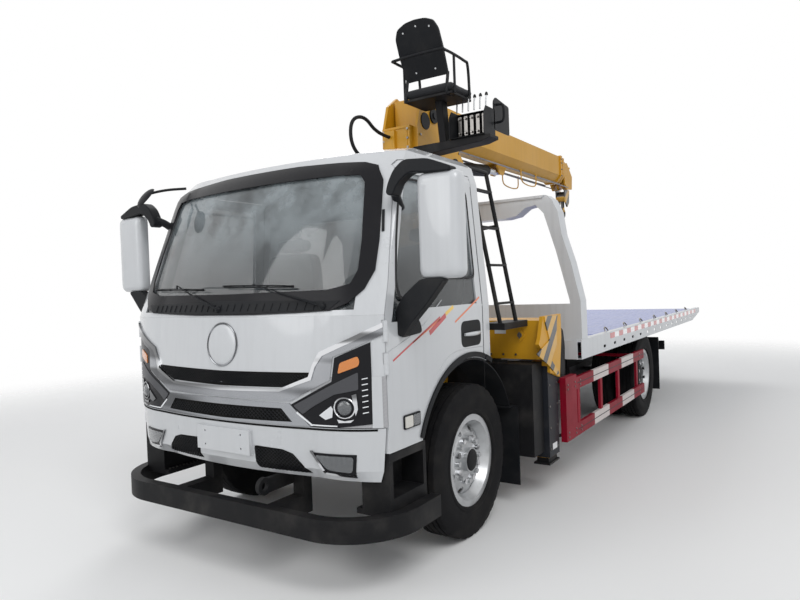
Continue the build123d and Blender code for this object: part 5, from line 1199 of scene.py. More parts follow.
def hub_face(node, side):
    """Station across of the hub's outer face at its middle."""
    low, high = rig.box(node)
    spots = (v.co for v in NODES[node].data.vertices)
    return side * max(p.y * side for p in spots if hypot(p.x - (low.x + high.x) / 2, p.z - TYRE_R) < HUB_R)


def make_wheel_nuts(_):
    """Wheel nuts on their flanges, hub rings and hub caps."""
    for side, name in SIDES:
        for body, node, x in (
            ("wheel_front_" + name, "rim_front_" + name, 0),
            ("wheels_rear_" + name, "rims_rear_" + name, REAR_X),
        ):
            face, tip = side * (abs(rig.box(node)[1].y) - NUT_INSET), hub_face(node, side)
            ring = [(x + BOLT_CIRCLE_R * c, face, TYRE_R + BOLT_CIRCLE_R * s) for c, s in circle(8, 0.39)]
            places = [(p, (0, side, 0)) for p in ring]
            bolts("nut_flanges_" + body, body, places, 0.026, 0.003, "steel", 20)
            bolts("wheel_nuts_" + body, body, places, 0.019, 0.034, "chrome", slot="steel")
            middle = Shape().disc((x, 0, TYRE_R), 0.098, *sorted((face - 0.002 * side, face + 0.004 * side)), "y", 40)
            middle.finish("hub_ring_" + body, body, "chassis_black", bevel=0.001, slot="steel")
            cap = Shape().dome((x, tip + 0.0006 * side, TYRE_R), (0, side, 0), 0.070, 0.012, 32, 4)
            cap.finish("hub_cap_" + body, body, "chassis_black", slot="steel", sharp=50)


# Cab front, its outlines given as (across, height)

SURROUND = [
    (0, 1.480), (0.250, 1.480), (0.555, 1.488), (0.747, 1.496), (0.846, 1.534), (0.915, 1.605), (0.950, 1.703),
    (0.941, 1.865), (0.900, 2.205), (0.856, 2.291), (0.770, 2.319), (0.596, 2.335), (0.310, 2.347), (0, 2.347),
]
GLASS_EDGE = [
    (0, 1.600), (0.715, 1.606), (0.836, 1.633), (0.864, 1.705), (0.852, 1.867), (0.806, 2.196), (0.772, 2.242),
    (0.629, 2.254), (0, 2.254),
]
COWL = [(0, 1.482), (0.745, 1.500), (0.800, 1.545), (0, 1.562)]
WIPERS = (
    ((-0.041, 1.512), (-0.497, 1.661), (-0.774, 1.642), (-0.216, 1.628)),
    ((0.703, 1.517), (0.217, 1.645), (-0.042, 1.644), (0.492, 1.627)),
)
CHROME_TOP = [
    (0, 1.077), (0.445, 1.080), (0.628, 1.148), (0.651, 1.211), (0.693, 1.280), (0.865, 1.353), (1.024, 1.430),
]
CHROME_FOOT = [
    (0, 1.054), (0.445, 1.066), (0.647, 1.132), (0.670, 1.201), (0.713, 1.260), (0.876, 1.332), (1.024, 1.405),
]
GREY_FOOT = [
    (0, 1.014), (0.510, 1.015), (0.757, 1.135), (0.772, 1.255), (0.865, 1.291), (0.966, 1.340), (1.024, 1.366),
]
MESH_TOP = [(0, 1.164), (0.627, 1.171), (0.628, 1.148), (0.459, 1.088), (0, 1.080)]
GRILLE_FRAME = [(0, 1.008), (0.503, 1.003), (0.630, 0.882), (0, 0.882)]
GRILLE_HOLE = [(0, 0.973), (0.449, 0.974), (0.516, 0.903), (0, 0.895)]
HEADLAMP = [
    (0.510, 0.996), (0.766, 1.126), (0.781, 1.250), (0.966, 1.330), (0.968, 1.134), (0.965, 0.905), (0.801, 0.886),
    (0.642, 0.886),
]
LAMP_CORNER = [(0.9665, 1.152), (1.012, 1.152), (1.012, 0.884), (0.9640, 0.884)]
LAMP_BROW = [
    (0.530, 0.992), (0.772, 1.112), (0.905, 1.176), (0.905, 1.085), (0.780, 1.060), (0.640, 0.985), (0.585, 0.948),
]
LIGHT_GUIDE = [(0.552, 0.960), (0.640, 0.897), (0.790, 0.897), (0.790, 0.891), (0.636, 0.890), (0.545, 0.953)]
TURN_LAMP = [(0.812, 1.224), (0.904, 1.259), (0.913, 1.233), (0.908, 1.207), (0.801, 1.167)]
LAMP_WINGS = (
    [(0.690, 0.948), (0.762, 1.000), (0.772, 0.985), (0.766, 0.940), (0.728, 0.926)],
    [(0.792, 0.930), (0.832, 0.922), (0.880, 0.930), (0.862, 0.915), (0.800, 0.912)],
    [(0.872, 1.058), (0.895, 1.065), (0.900, 0.985), (0.888, 0.950), (0.880, 1.010)],
)
PROJECTOR_Y, PROJECTOR_Z = 0.832, 0.990
FOG_LAMP = [(0.621, 0.743), (0.878, 0.742), (0.865, 0.633), (0.702, 0.645)]
FOG_LENS = [(0.640, 0.732), (0.862, 0.731), (0.851, 0.648), (0.712, 0.657)]
FOG_TRIM = [(0.612, 0.752), (0.628, 0.752), (0.704, 0.645), (0.868, 0.632), (0.870, 0.620), (0.696, 0.632)]
INTAKE = [(0.235, 0.752), (0.430, 0.745), (0.500, 0.725), (0.600, 0.622), (0.235, 0.622)]
DISC_Z = 1.314


def between(low, high):
    """Outline of a symmetric band between its lower and upper edges."""
    return mirrored(low + high[::-1])


def ribbon(points, width):
    """Closed outline of a line with width, for flat paint and seams."""
    pts = [Vector(p) for p in points]
    left, right = [], []
    for i, p in enumerate(pts):
        run = (pts[min(i + 1, len(pts) - 1)] - pts[max(i - 1, 0)]).normalized()
        side = Vector((-run.y, run.x)) * width / 2
        left.append(tuple(p + side))
        right.append(tuple(p - side))
    return left + right[::-1]


def make_windscreen(_):
    """Black surround, cowl and wipers."""
    glass_hole = [mirrored(SURROUND), mirrored(GLASS_EDGE)]
    sheet("windscreen_surround", "truck", "surround", nose, glass_hole, 0.0004, 0.0085, 0.035, sharp=30)
    shape = Shape().patch([mirrored(COWL)], nose, 0.0080, 0.0110, 0.04)
    for k in range(26):
        y = -0.70 + 0.056 * k
        shape.tube([nose(y, 1.500, 0.0120), nose(y + 0.006, 1.540, 0.0120)], 0.0035, 6)
    pillar_slot = ribbon([(0.949, 1.912), (0.929, 2.034)], 0.013)
    for side, _ in SIDES:
        shape.patch([[(y * side, z) for y, z in pillar_slot]], nose, 0.0020, 0.0050, 0.02)
    shape.finish("cowl_panel", "truck", "trim_black", bevel=0.001, sharp=30)
    shape = Shape()
    for pivot, elbow, far, near in WIPERS:
        shape.dome(nose(*pivot, 0.004), nose(*pivot, 1) - nose(*pivot, 0), 0.022, 0.030)
        arm = [nose(*blend(pivot, elbow, t), 0.026 + 0.012 * sin(pi * t)) for t in shares(10)]
        shape.tube(arm, [0.010 - 0.005 * t for t in shares(10)], 8, flat=0.6)
        line = [(*blend(far, near, t), t) for t in shares(24)]
        blade = [nose(y, z, 0.0075) for y, z, _ in line]
        spine = [nose(y, z + 0.004, 0.016 + 0.010 * sin(pi * t)) for y, z, t in line]
        shape.tube(blade, 0.0042, 6)
        shape.tube(spine, 0.0055, 8, flat=0.7)
        for k in (3, 8, 16, 21):
            shape.tube([blade[k], spine[k]], 0.004, 6)
        shape.tube([arm[-1], spine[12]], 0.006, 6)
    shape.finish("wipers", "truck", "trim_black", sharp=40)


def make_front_disc(_):
    """Bare domed disc with a ring, in the middle of the nose."""
    out = nose(0, DISC_Z, 1) - nose(0, DISC_Z, 0)
    disc = Shape().dome(nose(0, DISC_Z, 0.001), out, 0.118, 0.010, 40, 6)
    disc.finish("front_disc", "truck", "cab_white", sharp=50)
    ring = [nose(0.122 * c, DISC_Z + 0.122 * s, 0.003) for c, s in circle(48)]
    Shape().tube(ring, 0.005, 8, closed=True).finish("front_ring", "truck", "grey_band")


def make_grille(sizes):
    """Mesh grilles, the bright swept band and its grey lower band."""
    upper, lower = mirrored(MESH_TOP), mirrored(GRILLE_HOLE)
    # Painted shade: a near-black sheet under the upper mesh stands for the shade behind it.
    sheet("grille_back", "truck", "void", nose, [upper], 0.0004, 0.0015, 0.04)
    shape = lattice(Shape(), upper, nose, 0.004, sizes.mesh_pitch, 0.0022, 0.8)
    lattice(shape, lower, nose, 0.003, sizes.mesh_pitch * 1.3, 0.0026, 0.8)
    shape.finish("grille_mesh", "truck", "trim_black", replaces=["grille_trim"])
    # Painted shade: a near-black sheet under the lower mesh stands for the shade behind it.
    sheet("lower_grille_back", "truck", "void", nose, [lower], 0.0003, 0.0010, 0.05)
    for name, paint, loops, high, bevel in (
        ("bright_band", "chrome", [between(CHROME_FOOT, CHROME_TOP)], 0.012, 0.002),
        ("grey_band", "grey_band", [between(GREY_FOOT, CHROME_FOOT)], 0.0065, 0.0015),
        ("lower_grille_frame", "grey_band", [mirrored(GRILLE_FRAME), lower], 0.0075, 0.002),
    ):
        sheet(name, "truck", paint, nose, loops, 0.0004, high, bevel=bevel, sharp=30)


def make_headlamps(_):
    """Dark lamp housings with projector, reflector, turn lamp and running light."""
    for side, name in SIDES:
        at = one_side(nose, side)
        for part, paint, loop, low, high, step, bevel in (
            ("headlamp_housing_", "surround", HEADLAMP, 0.0010, 0.0036, 0.03, 0),
            ("headlamp_corner_", "cab_white", LAMP_CORNER, 0.0006, 0.0030, 0.02, 0),
            ("lamp_brow_", "lamp_shell", rounded(LAMP_BROW, 0.01), 0.0035, 0.0075, 0.03, 0.001),
            ("light_guide_", "white_lens", LIGHT_GUIDE, 0.0035, 0.0085, 0.02, 0.001),
        ):
            sheet(part + name, "truck", paint, at, [loop], low, high, step, bevel=bevel, sharp=30)
        sheet("turn_lamp_" + name, "truck", "amber_lens", at, [rounded(TURN_LAMP, 0.012)], 0.003, 0.009, bevel=0.0015)
        shape = Shape()
        for wing in LAMP_WINGS:
            shape.patch([wing], at, 0.0035, 0.010, 0.02)
        ring = [at(PROJECTOR_Y + 0.053 * c, PROJECTOR_Z + 0.053 * s, 0.008) for c, s in circle(32)]
        shape.tube(ring, 0.0045, 8, closed=True)
        shape.finish("lamp_reflectors_" + name, "truck", "chrome", bevel=0.001)
        out = at(0.83, PROJECTOR_Z, 1) - at(0.83, PROJECTOR_Z, 0)
        shape = Shape().dome(at(PROJECTOR_Y, PROJECTOR_Z, 0.003), out, 0.040, 0.018, 32, 7)
        shape.finish("projector_" + name, "truck", "clear_lens", sharp=60)
        shape = Shape()
        for k in range(7):
            z = 1.140 - 0.0295 * k
            tick = [(0.922, z - 0.003), (0.950, z + 0.003), (0.950, z + 0.008), (0.922, z + 0.002)]
            shape.patch([tick], at, 0.0035, 0.008, 0.04)
        shape.finish("running_light_" + name, "truck", "white_lens", bevel=0.001)


def make_bumper(sizes):
    """Bumper intakes, fog lamps and the gap above the bumper."""
    intake = rounded(INTAKE, 0.02)
    for side, name in SIDES:
        at = one_side(bumper, side)
        # Painted shade: a near-black sheet under each intake mesh stands for the shade behind it.
        sheet("intake_back_" + name, "truck", "void", at, [intake], 0.0006, 0.0016)
        mesh = lattice(Shape(), intake, at, 0.003, sizes.mesh_pitch * 1.2, 0.0022, 0.8)
        mesh.finish("intake_mesh_" + name, "truck", "trim_black")
        sheet("fog_housing_" + name, "truck", "surround", at, [rounded(FOG_LAMP, 0.02)], 0.0006, 0.004, bevel=0.001)
        sheet("fog_lamp_" + name, "truck", "clear_lens", at, [rounded(FOG_LENS, 0.02)], 0.004, 0.009, bevel=0.002)
        sheet("fog_trim_" + name, "truck", "chrome", at, [FOG_TRIM], 0.001, 0.010, 0.02, bevel=0.0015)
    # Painted shadow: a near-black strip along the bumper's top stands for the shadow in the gap above the bumper.
    lip = [(-0.985 + 0.0394 * k, 0.877) for k in range(51)] + [(0.985 - 0.0394 * k, 0.866) for k in range(51)]
    sheet("bumper_gap", "truck", "void", bumper, [lip], 0.0004, 0.0016, 0.05)


# Doors and cab sides, their outlines given as (station, height)

STRIPES = (
    ("stripe_red", [(0.868, 1.222), (0.360, 1.424)], 0.010),
    ("stripe_red", [(0.487, 1.338), (0.294, 1.430)], 0.030),
    ("stripe_yellow", [(0.293, 1.437), (0.194, 1.478)], 0.022),
    ("stripe_orange", [(0.179, 1.382), (-0.168, 1.525)], 0.012),
    ("stripe_orange", [(0.666, 1.300), (0.360, 1.412)], 0.008),
)
WINDOW = [
    (0.607, 2.225), (0.702, 2.086), (0.762, 1.863), (0.806, 1.620), (0.785, 1.550), (0.750, 1.528), (0.666, 1.546),
    (0.397, 1.649), (-0.130, 1.646), (-0.130, 2.225),
]
CREASES = (
    [(0.911, 1.274), (0.746, 1.321), (0.555, 1.390), (0.329, 1.523)],
    [(0.419, 1.088), (0.307, 1.169), (0.128, 1.205), (-0.190, 1.200)],
)


def oblong(x0, x1, y0, y1, radius, steps=4):
    """Rectangle with rounded corners."""
    return rounded([(x0, y0), (x1, y0), (x1, y1), (x0, y1)], radius, steps)


def make_door_trim(_):
    """Window seals, handles, pinstripes, side lamps and wheel-arch flares."""
    inner = [(x - 0.016 if x > 0 else x + 0.014, z) for x, z in WINDOW]
    inner = [(x, z - 0.014 if z > 2.2 else z + (0.016 if z < 1.66 else 0)) for x, z in inner]
    seal = [rounded(WINDOW, 0.05), rounded(inner, 0.045)]
    for side, name in SIDES:
        door = "door_" + name
        skin = flank(side)
        sheet("window_seal_" + name, door, "surround", skin, seal, 0.0004, 0.004, 0.04, bevel=0.001)
        for k, (key, line, width) in enumerate(STRIPES):
            sheet(f"pinstripe_{k}_{name}", door, key, skin, [ribbon(line, width)], 0.0003, 0.0009, 0.05)
        recess = oblong(-0.165, 0.105, 1.215, 1.380, 0.05, 6)
        sheet("handle_cup_" + name, door, "trim_black", skin, [recess], 0.0003, 0.0012, 0.04)
        grip = [skin(-0.140 + 0.210 * t, 1.295, 0.008 + 0.016 * sin(pi * t)) for t in shares(12)]
        handle = Shape().tube(grip, [0.010 + 0.004 * sin(pi * t) for t in shares(12)], 12, up=(0, 0, 1))
        handle.finish("handle_grip_" + name, door, "cab_white", sharp=60)
        for part, paint, x0, x1, z0, z1, radius, low, high, bevel in (
            ("base", "trim_black", 0.625, 0.793, 0.841, 0.918, 0.012, 0.0005, 0.008, 0.001),
            ("clear", "clear_lens", 0.632, 0.706, 0.849, 0.910, 0.008, 0.008, 0.013, 0.002),
            ("amber", "pearl_lens", 0.711, 0.786, 0.849, 0.910, 0.008, 0.008, 0.013, 0.002),
        ):
            loop = oblong(x0, x1, z0, z1, radius)
            sheet(f"side_lamp_{part}_{name}", door, paint, skin, [loop], low, high, 0.04, bevel=bevel)
        for body, start, end, part in ((door, 24, 107.5, "front"), ("truck", 108.5, 116.5, "rear")):
            ring = arc_points((0, 0.487), 0.692, start, end, 36) + arc_points((0, 0.487), 0.6585, end, start, 36)
            sheet(f"arch_flare_{part}_{name}", body, "trim_black", skin, [ring], 0.0005, 0.012, 0.05, bevel=0.003)
        creases = Shape()
        for line in CREASES:
            creases.tube(smooth_path([skin(x, z, 0.0002) for x, z in line], 6), 0.0022, 6)
        creases.finish("door_creases_" + name, door, "cab_white", sharp=60)
        seam = ribbon([(-0.1995, 0.78), (-0.1995, 2.31)], 0.005)
        sheet("door_edge_seal_" + name, door, "shut_line", skin, [seam], 0.0002, 0.0008, 0.06)


# Mirrors and cab inside

MIRROR_Y, MIRROR_Z = 1.2965, 1.919
MIRROR_RINGS = ((0.741, 0.006), (0.744, 0.001), (0.768, 0.0), (0.796, 0.005), (0.812, 0.016), (0.821, 0.040))
UPPER_ARM = [
    (0.985, 2.105), (1.000, 2.160), (1.040, 2.230), (1.105, 2.276), (1.250, 2.262), (1.385, 2.205),
    (1.378, 2.182), (1.250, 2.190), (1.135, 2.205), (1.060, 2.150), (1.030, 2.090),
]
LOWER_ARM = [
    (1.180, 1.648), (1.065, 1.560), (1.020, 1.490), (1.026, 1.350), (1.062, 1.340), (1.100, 1.400),
    (1.215, 1.515), (1.330, 1.648),
]
MIRROR_POD = [(0.575, 1.350), (0.790, 1.335), (0.790, 1.470), (0.700, 1.478), (0.600, 1.420)]
ROUND_MIRROR_ARM = [(0.700, -0.780, 2.352), (0.800, -0.860, 2.340), (0.905, -0.900, 2.310), (0.930, -0.880, 2.290)]
DASH = [(0.990, 1.492), (0.645, 1.492), (0.606, 1.402), (0.645, 1.190), (0.800, 1.100), (0.960, 1.100)]
SEAT_Y = 0.630


def make_mirrors(_):
    """White mirror shells with their glasses on thick black arms."""
    for side, name in SIDES:
        door = "door_" + name

        def yz(points, side=side):
            return [(y * side, z) for y, z in points]

        rings = []
        for x, inset in MIRROR_RINGS:
            wide, tall = 1 - inset / 0.13, 1 - inset / 0.28
            ring = oblong(1.169, 1.424, 1.644, 2.194, 0.050, 7)
            ring = [(MIRROR_Y + (y - MIRROR_Y) * wide, MIRROR_Z + (z - MIRROR_Z) * tall) for y, z in ring]
            rings.append([(x, y, z) for y, z in yz(ring)])
        shell = Shape().rings(rings)
        shell.finish("mirror_shell_" + name, door, "mirror_shell", sharp=50, replaces=["mirror_" + name])
        faces = Shape()
        for z0, z1 in ((1.668, 1.990), (2.008, 2.172)):
            faces.prism(yz(oblong(1.189, 1.404, z0, z1, 0.028, 5)), "x", 0.7385, 0.7425)
        faces.finish("mirror_glass_" + name, door, "mirror_face", bevel=0.001)
        arms = Shape().prism(yz(rounded(UPPER_ARM, 0.03)), "x", 0.748, 0.822)
        arms.prism(yz(rounded(LOWER_ARM, 0.03)), "x", 0.750, 0.815)
        arms.finish("mirror_arms_" + name, door, "trim_black", bevel=0.010, sharp=50)
        root = [(0.785, 1.020 * side, 2.150), (0.720, 0.985 * side, 2.115), (0.640, 0.962 * side, 2.050)]
        tie = Shape().tube(smooth_path(root, 6), 0.026, 12)
        tie.finish("mirror_root_" + name, door, "trim_black", sharp=50)
        pod = [rounded(MIRROR_POD, 0.03)]
        sheet("mirror_pod_" + name, door, "trim_black", flank(side), pod, 0.0005, 0.010, 0.04, bevel=0.004)
    Shape().tube(smooth_path(ROUND_MIRROR_ARM, 6), 0.009, 10).finish("round_mirror_arm", "truck", "trim_black")
    dome = Shape().dome((0.935, -0.905, 2.275), (0.75, -0.25, 0.62), 0.082, 0.030, 32, 6)
    dome.finish("round_mirror", "truck", "trim_black", sharp=60)


def cushion(name, body, x, y, z, crown, replaces=()):
    """Crowned seat pad with a waist between its corners and two sewn channels."""
    counts = (14, 14, 4)
    shape = Shape()
    grid = {}

    def place(u, v, w):
        pinch = 1 - 0.045 * (1 - abs(u)) * abs(v) ** 4 - 0.045 * (1 - abs(v)) * abs(u) ** 4
        waist = pinch * (1 - 0.10 * w * w)
        seam = 0.35 * crown if min(abs(abs(v) - 0.5), abs(abs(u) - 0.58)) < 0.05 else 0
        lift = crown * ((1 - u * u) * (1 - v * v)) ** 0.4 - seam
        return Vector((
            (x[0] + x[1]) / 2 + (x[1] - x[0]) / 2 * u * waist,
            (y[0] + y[1]) / 2 + (y[1] - y[0]) / 2 * v * waist,
            z[0] + crown + (z[1] - z[0] - 2 * crown) * (w + 1) / 2 + lift * w,
        ))

    for cell in product(*(range(n + 1) for n in counts)):
        if any(c in (0, n) for c, n in zip(cell, counts)):
            grid[cell] = shape.bm.verts.new(place(*(2 * c / n - 1 for c, n in zip(cell, counts))))
    for (i, j, k) in list(grid):
        for a, b in (((1, 0, 0), (0, 1, 0)), ((0, 1, 0), (0, 0, 1)), ((1, 0, 0), (0, 0, 1))):
            ring = [(i, j, k), (i + a[0], j + a[1], k + a[2])]
            ring += [(i + a[0] + b[0], j + a[1] + b[1], k + a[2] + b[2]), (i + b[0], j + b[1], k + b[2])]
            if not all(c in grid for c in ring):
                continue
            if any(len({c[n] for c in ring}) == 1 and ring[0][n] in (0, counts[n]) for n in range(3)):
                shape.bm.faces.new([grid[c] for c in ring])
    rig.padded(shape.finish(name, body, "seat_cloth", levels=1, sharp=80, replaces=replaces), 0.8)


def make_cab_interior(_):
    """Seats, dashboard and steering column in place of their plain solids."""
    replaces = ["cab_interior"]
    for side, name in SIDES:
        middle = SEAT_Y * side
        y = (middle - 0.250, middle + 0.250)
        cushion("seat_cushion_" + name, "truck", (-0.190, 0.262), y, (1.325, 1.436), 0.022, replaces)
        replaces = []
        cushion("seat_back_" + name, "truck", (-0.262, -0.150), y, (1.445, 1.905), 0.020)
        head = (middle - 0.140, middle + 0.140)
        cushion("headrest_" + name, "truck", (-0.262, -0.165), head, (1.915, 2.024), 0.016)
        base = Shape().box((-0.160, 0.230), (y[0] + 0.06, y[1] - 0.06), (1.215, 1.327))
        base.finish("seat_base_" + name, "truck", "dashboard", bevel=0.008)
    dash = Shape().prism(rounded(DASH, 0.03), "y", -0.930, 0.930)
    dash.finish("dashboard", "truck", "dashboard", bevel=0.006)
    column = Shape().tube([(0.740, SEAT_Y, 1.345), (0.520, SEAT_Y, 1.487)], 0.026, 16)
    column.finish("steering_column", "truck", "dashboard")


# Crane and rigging

STATION_Y = (0.206, 0.649)
STATION_MIDDLE_Y = 0.415
BACKREST = [
    (0.232, 0.000), (0.598, 0.000), (0.606, 0.200), (0.602, 0.330), (0.572, 0.393), (0.500, 0.424),
    (0.415, 0.432), (0.330, 0.424), (0.258, 0.393), (0.228, 0.330), (0.224, 0.200),
]
SEAT_POST = [(-0.868, 2.738), (-0.790, 2.738), (-0.740, 3.044), (-0.830, 3.044)]
SEAT_BRACKET = [(0.1757, 2.738), (0.858, 2.738), (0.858, 2.712), (0.780, 2.690), (0.1757, 2.652)]
HOOP = ((-0.880, 3.055), (-0.862, 3.300), (-0.800, 3.330), (-0.520, 3.330))
CONSOLE_SIDE = [(-0.960, 2.738), (-0.762, 2.738), (-0.762, 2.900), (-0.800, 2.958), (-0.960, 2.958)]
CONSOLE_PLATE = [(-1.230, 2.800), (-0.940, 2.800), (-0.940, 3.020), (-0.980, 3.058), (-1.230, 3.030)]
CONSOLE_WALLS = (
    ((-0.960, -0.955), (2.738, 2.958)), ((-0.955, -0.762), (2.738, 2.744)), ((-0.955, -0.915), (2.952, 2.958)),
)
SIDE_HANDLE = ((0.823, 2.86), (0.875, 2.87), (0.885, 2.93), (0.875, 2.99), (0.823, 3.00))
CHEEK_BOLTS = ((-1.00, 2.62), (-1.20, 2.62), (-1.40, 2.62), (-1.60, 2.62), (-0.90, 2.86), (-1.56, 2.80))
ROPE_GUIDE = [(-3.140, 2.884), (-3.185, 2.742), (-3.545, 2.736), (-3.590, 2.884)]
ROPE_RUNS = (
    ("boom_base", 0.092, (-1.700, 2.862), (-4.420, 2.866)),
    ("boom_mid", 0.096, (-1.900, 2.860), (-4.440, 2.864)),
    ("boom_tip", 0.100, (-2.150, 2.858), (-4.755, 2.852)),
)


def make_operator_station(_):
    """Operator's seat on its post, its rails and the lever console."""
    body = "crane_turret"
    run, rise = Vector((0.1825, 0, 0.4005)).normalized(), Vector((0, 1, 0))
    out = run.cross(rise) * -1

    def backrest(y, t, lift):
        bow = 0.06 * (1 - ((y - STATION_MIDDLE_Y) / 0.2) ** 2) * 0.35
        return Vector((-0.640, y, 3.198)) + run * t + out * (lift - bow)

    sheet(
        "operator_backrest", body, "trim_black", backrest, [rounded(BACKREST, 0.02)], -0.010, 0.010, bevel=0.003,
        replaces=["operator_station"],
    )
    seat = Shape().box((-0.925, -0.610), (0.215, 0.640), (3.042, 3.062))
    seat.prism(SEAT_POST, "y", 0.415, 0.475)
    seat.prism(SEAT_BRACKET, "x", -0.930, -0.780)
    seat.finish("operator_frame", body, "chassis_black", bevel=0.004, slot="trim_black")
    cushion("operator_cushion", body, (-0.928, -0.604), (0.206, 0.650), (3.060, 3.148), 0.016)
    rails = Shape()
    near, far = STATION_Y
    hoop = [(x, near, z) for x, z in HOOP] + [(-0.470, 0.250, 3.330), (-0.470, 0.605, 3.330)]
    hoop += [(x, far, z) for x, z in reversed(HOOP)]
    rails.tube(smooth_path(hoop, 6), 0.011, 10)
    for y in STATION_Y:
        rails.tube([(-0.640, y, 3.050), (-0.640, y, 3.330)], 0.010, 10)
    for y in (0.235, 0.595):
        rails.tube(smooth_path([(-0.700, y, 3.050), (-0.615, y, 3.060), (-0.640, y, 3.215)], 5), 0.012, 10)
    rails.finish("operator_rails", body, "trim_black")
    console = Shape()
    for y in ((0.520, 0.525), (0.815, 0.820)):
        console.prism(CONSOLE_SIDE, "y", *y)
    for x, z in CONSOLE_WALLS:
        console.box(x, (0.525, 0.815), z)
    console.prism(rounded(CONSOLE_PLATE, 0.02), "y", 0.812, 0.820)
    console.finish("lever_console", body, "trim_black", bevel=0.0015)
    spots = ((0.300, 0.36), (0.415, 0.385), (0.530, 0.36), (0.330, 0.06), (0.500, 0.06))
    bolts("backrest_bolts", body, [(backrest(*p, 0.010), out) for p in spots], 0.007, 0.003, "steel", 12)
    levers, grips, valves = Shape(), Shape(), Shape()
    for k in range(6):
        y = 0.545 + 0.050 * k
        levers.tube([(-0.855, y, 2.955), (-0.862, y, 3.020), (-0.872, y, 3.060)], 0.006, 8)
        grips.dome((-0.873, y, 3.055), (0, 0, 1), 0.013, 0.026, 14, 5)
    for k in range(5):
        y = 0.545 + 0.052 * k
        valves.prism(oblong(y, y + 0.030, 2.775, 2.925, 0.006), "x", -0.905, -0.870)
        for z in (2.795, 2.905):
            valves.disc((0, y + 0.015, z), 0.009, -0.870, -0.852, "x", 12)
    levers.finish("crane_levers", body, "steel")
    grips.finish("crane_lever_grips", body, "lever_grip", sharp=60)
    valves.finish("valve_bank", body, "grease", bevel=0.001)
    handle = smooth_path([(-0.985, y, z) for y, z in SIDE_HANDLE], 6)
    Shape().tube(handle, 0.010, 10).finish("side_handle", body, "trim_black")


def make_turret_trim(_):
    """Bolt rows, pin caps and weld beads of the turret."""
    body = "crane_turret"
    heads = [((-0.800, y, 2.600 + 0.075 * k), (1, 0, 0)) for y in (-0.115, 0.115) for k in range(5)]
    caps = Shape()
    for side, _ in SIDES:
        heads += [((x, 0.175 * side, z), (0, side, 0)) for x, z in CHEEK_BOLTS]
        for x, z, r in ((-1.120, 3.050, 0.062), (-1.480, 2.690, 0.052)):
            caps.disc((x, 0, z), r, *span(side, 0.1745, 0.190))
            caps.disc((x, 0, z), r * 0.45, *span(side, 0.1895, 0.199), "y", 24)
        caps.disc((-0.985, 0, 2.985), 0.070, *span(side, 0.1745, 0.182))
    bolts("turret_bolts", body, heads, 0.011, 0.008, "grease", slot="crane_yellow")
    caps.finish("pin_caps", body, "trim_black", bevel=0.002, slot="steel")
    rim = Shape()
    for y in (-0.110, 0.110):
        rim.tube([(-0.797, y, 2.59), (-0.797, y, 2.91)], 0.004, 6)
    rim.tube([(-0.797, -0.110, 2.91), (-0.797, 0.110, 2.91)], 0.004, 6)
    rim.finish("front_box_welds", body, "crane_yellow")


def make_rope(_):
    """Hoist rope under the boom, its guide, collar bolts and the hook block's bands."""
    for body, y, start, end in ROPE_RUNS:
        shape = Shape()
        for side, _ in SIDES:
            first, last = Vector((start[0], y * side, start[1])), Vector((end[0], y * side, end[1]))
            for twist in (0, 1, 2):
                strand = []
                for k in range(161):
                    a = 2 * pi * (k / 4 + twist / 3)
                    strand.append(first.lerp(last, k / 160) + Vector((0, 0.0036 * cos(a), 0.0036 * sin(a))))
                shape.tube(strand, 0.0044, 5)
        shape.finish("hoist_rope_" + body, body, "rope")
    guide = Shape()
    heads = []
    for side, _ in SIDES:
        guide.tube(smooth_path([(x, 0.112 * side, z) for x, z in ROPE_GUIDE], 6), 0.007, 8)
        for x in (-4.385, -4.415):
            heads += [((x, 0.144 * side, z), (0, side, 0)) for z in (2.960, 3.040, 3.120, 3.170)]
    guide.finish("rope_guide", "boom_base", "crane_yellow")
    bolts("collar_bolts", "boom_base", heads, 0.008, 0.006, "grease", slot="crane_yellow")
    NODES["hook_block"].material_slots[0].material = PAINTS["hazard"]


# Outriggers and their housing

YOKE = [
    (-0.809, 1.362), (-1.076, 1.354), (-1.051, 1.310), (-1.034, 1.129), (-0.920, 1.028), (-1.079, 0.911),
    (-1.014, 0.904), (-0.856, 0.999), (-0.687, 1.076), (-0.633, 1.103), (-0.893, 1.180), (-0.806, 1.333),
]
HOSE_COVER = [
    (-1.150, 1.282), (-1.228, 1.272), (-1.384, 1.224), (-1.419, 1.092), (-1.396, 0.850), (-1.213, 0.867),
    (-1.236, 1.109), (-1.166, 1.150),
]
TIE_LOOP = [(-1.150, 0.400), (-1.385, 0.400), (-1.385, 0.850), (-1.150, 0.850)]
LEG_TAG = [(-1.050, 0.350), (-0.960, 0.350), (-0.960, 0.395), (-1.050, 0.395)]
LEG_INNER = [(-1.1005, 1.0775), (-0.8995, 1.0775), (-0.8995, 1.1985), (-1.1005, 1.1985)]
LEG_OUTER = [(-1.1030, 1.0750), (-0.8970, 1.0750), (-0.8970, 1.2010), (-1.1030, 1.2010)]
LEG_FACE_Y = 1.2010
HOUSING_FACE_X = -0.7945
LATCH_Y, LATCH_Z = 1.038, 1.222
STEP_TOP_Z = 0.430


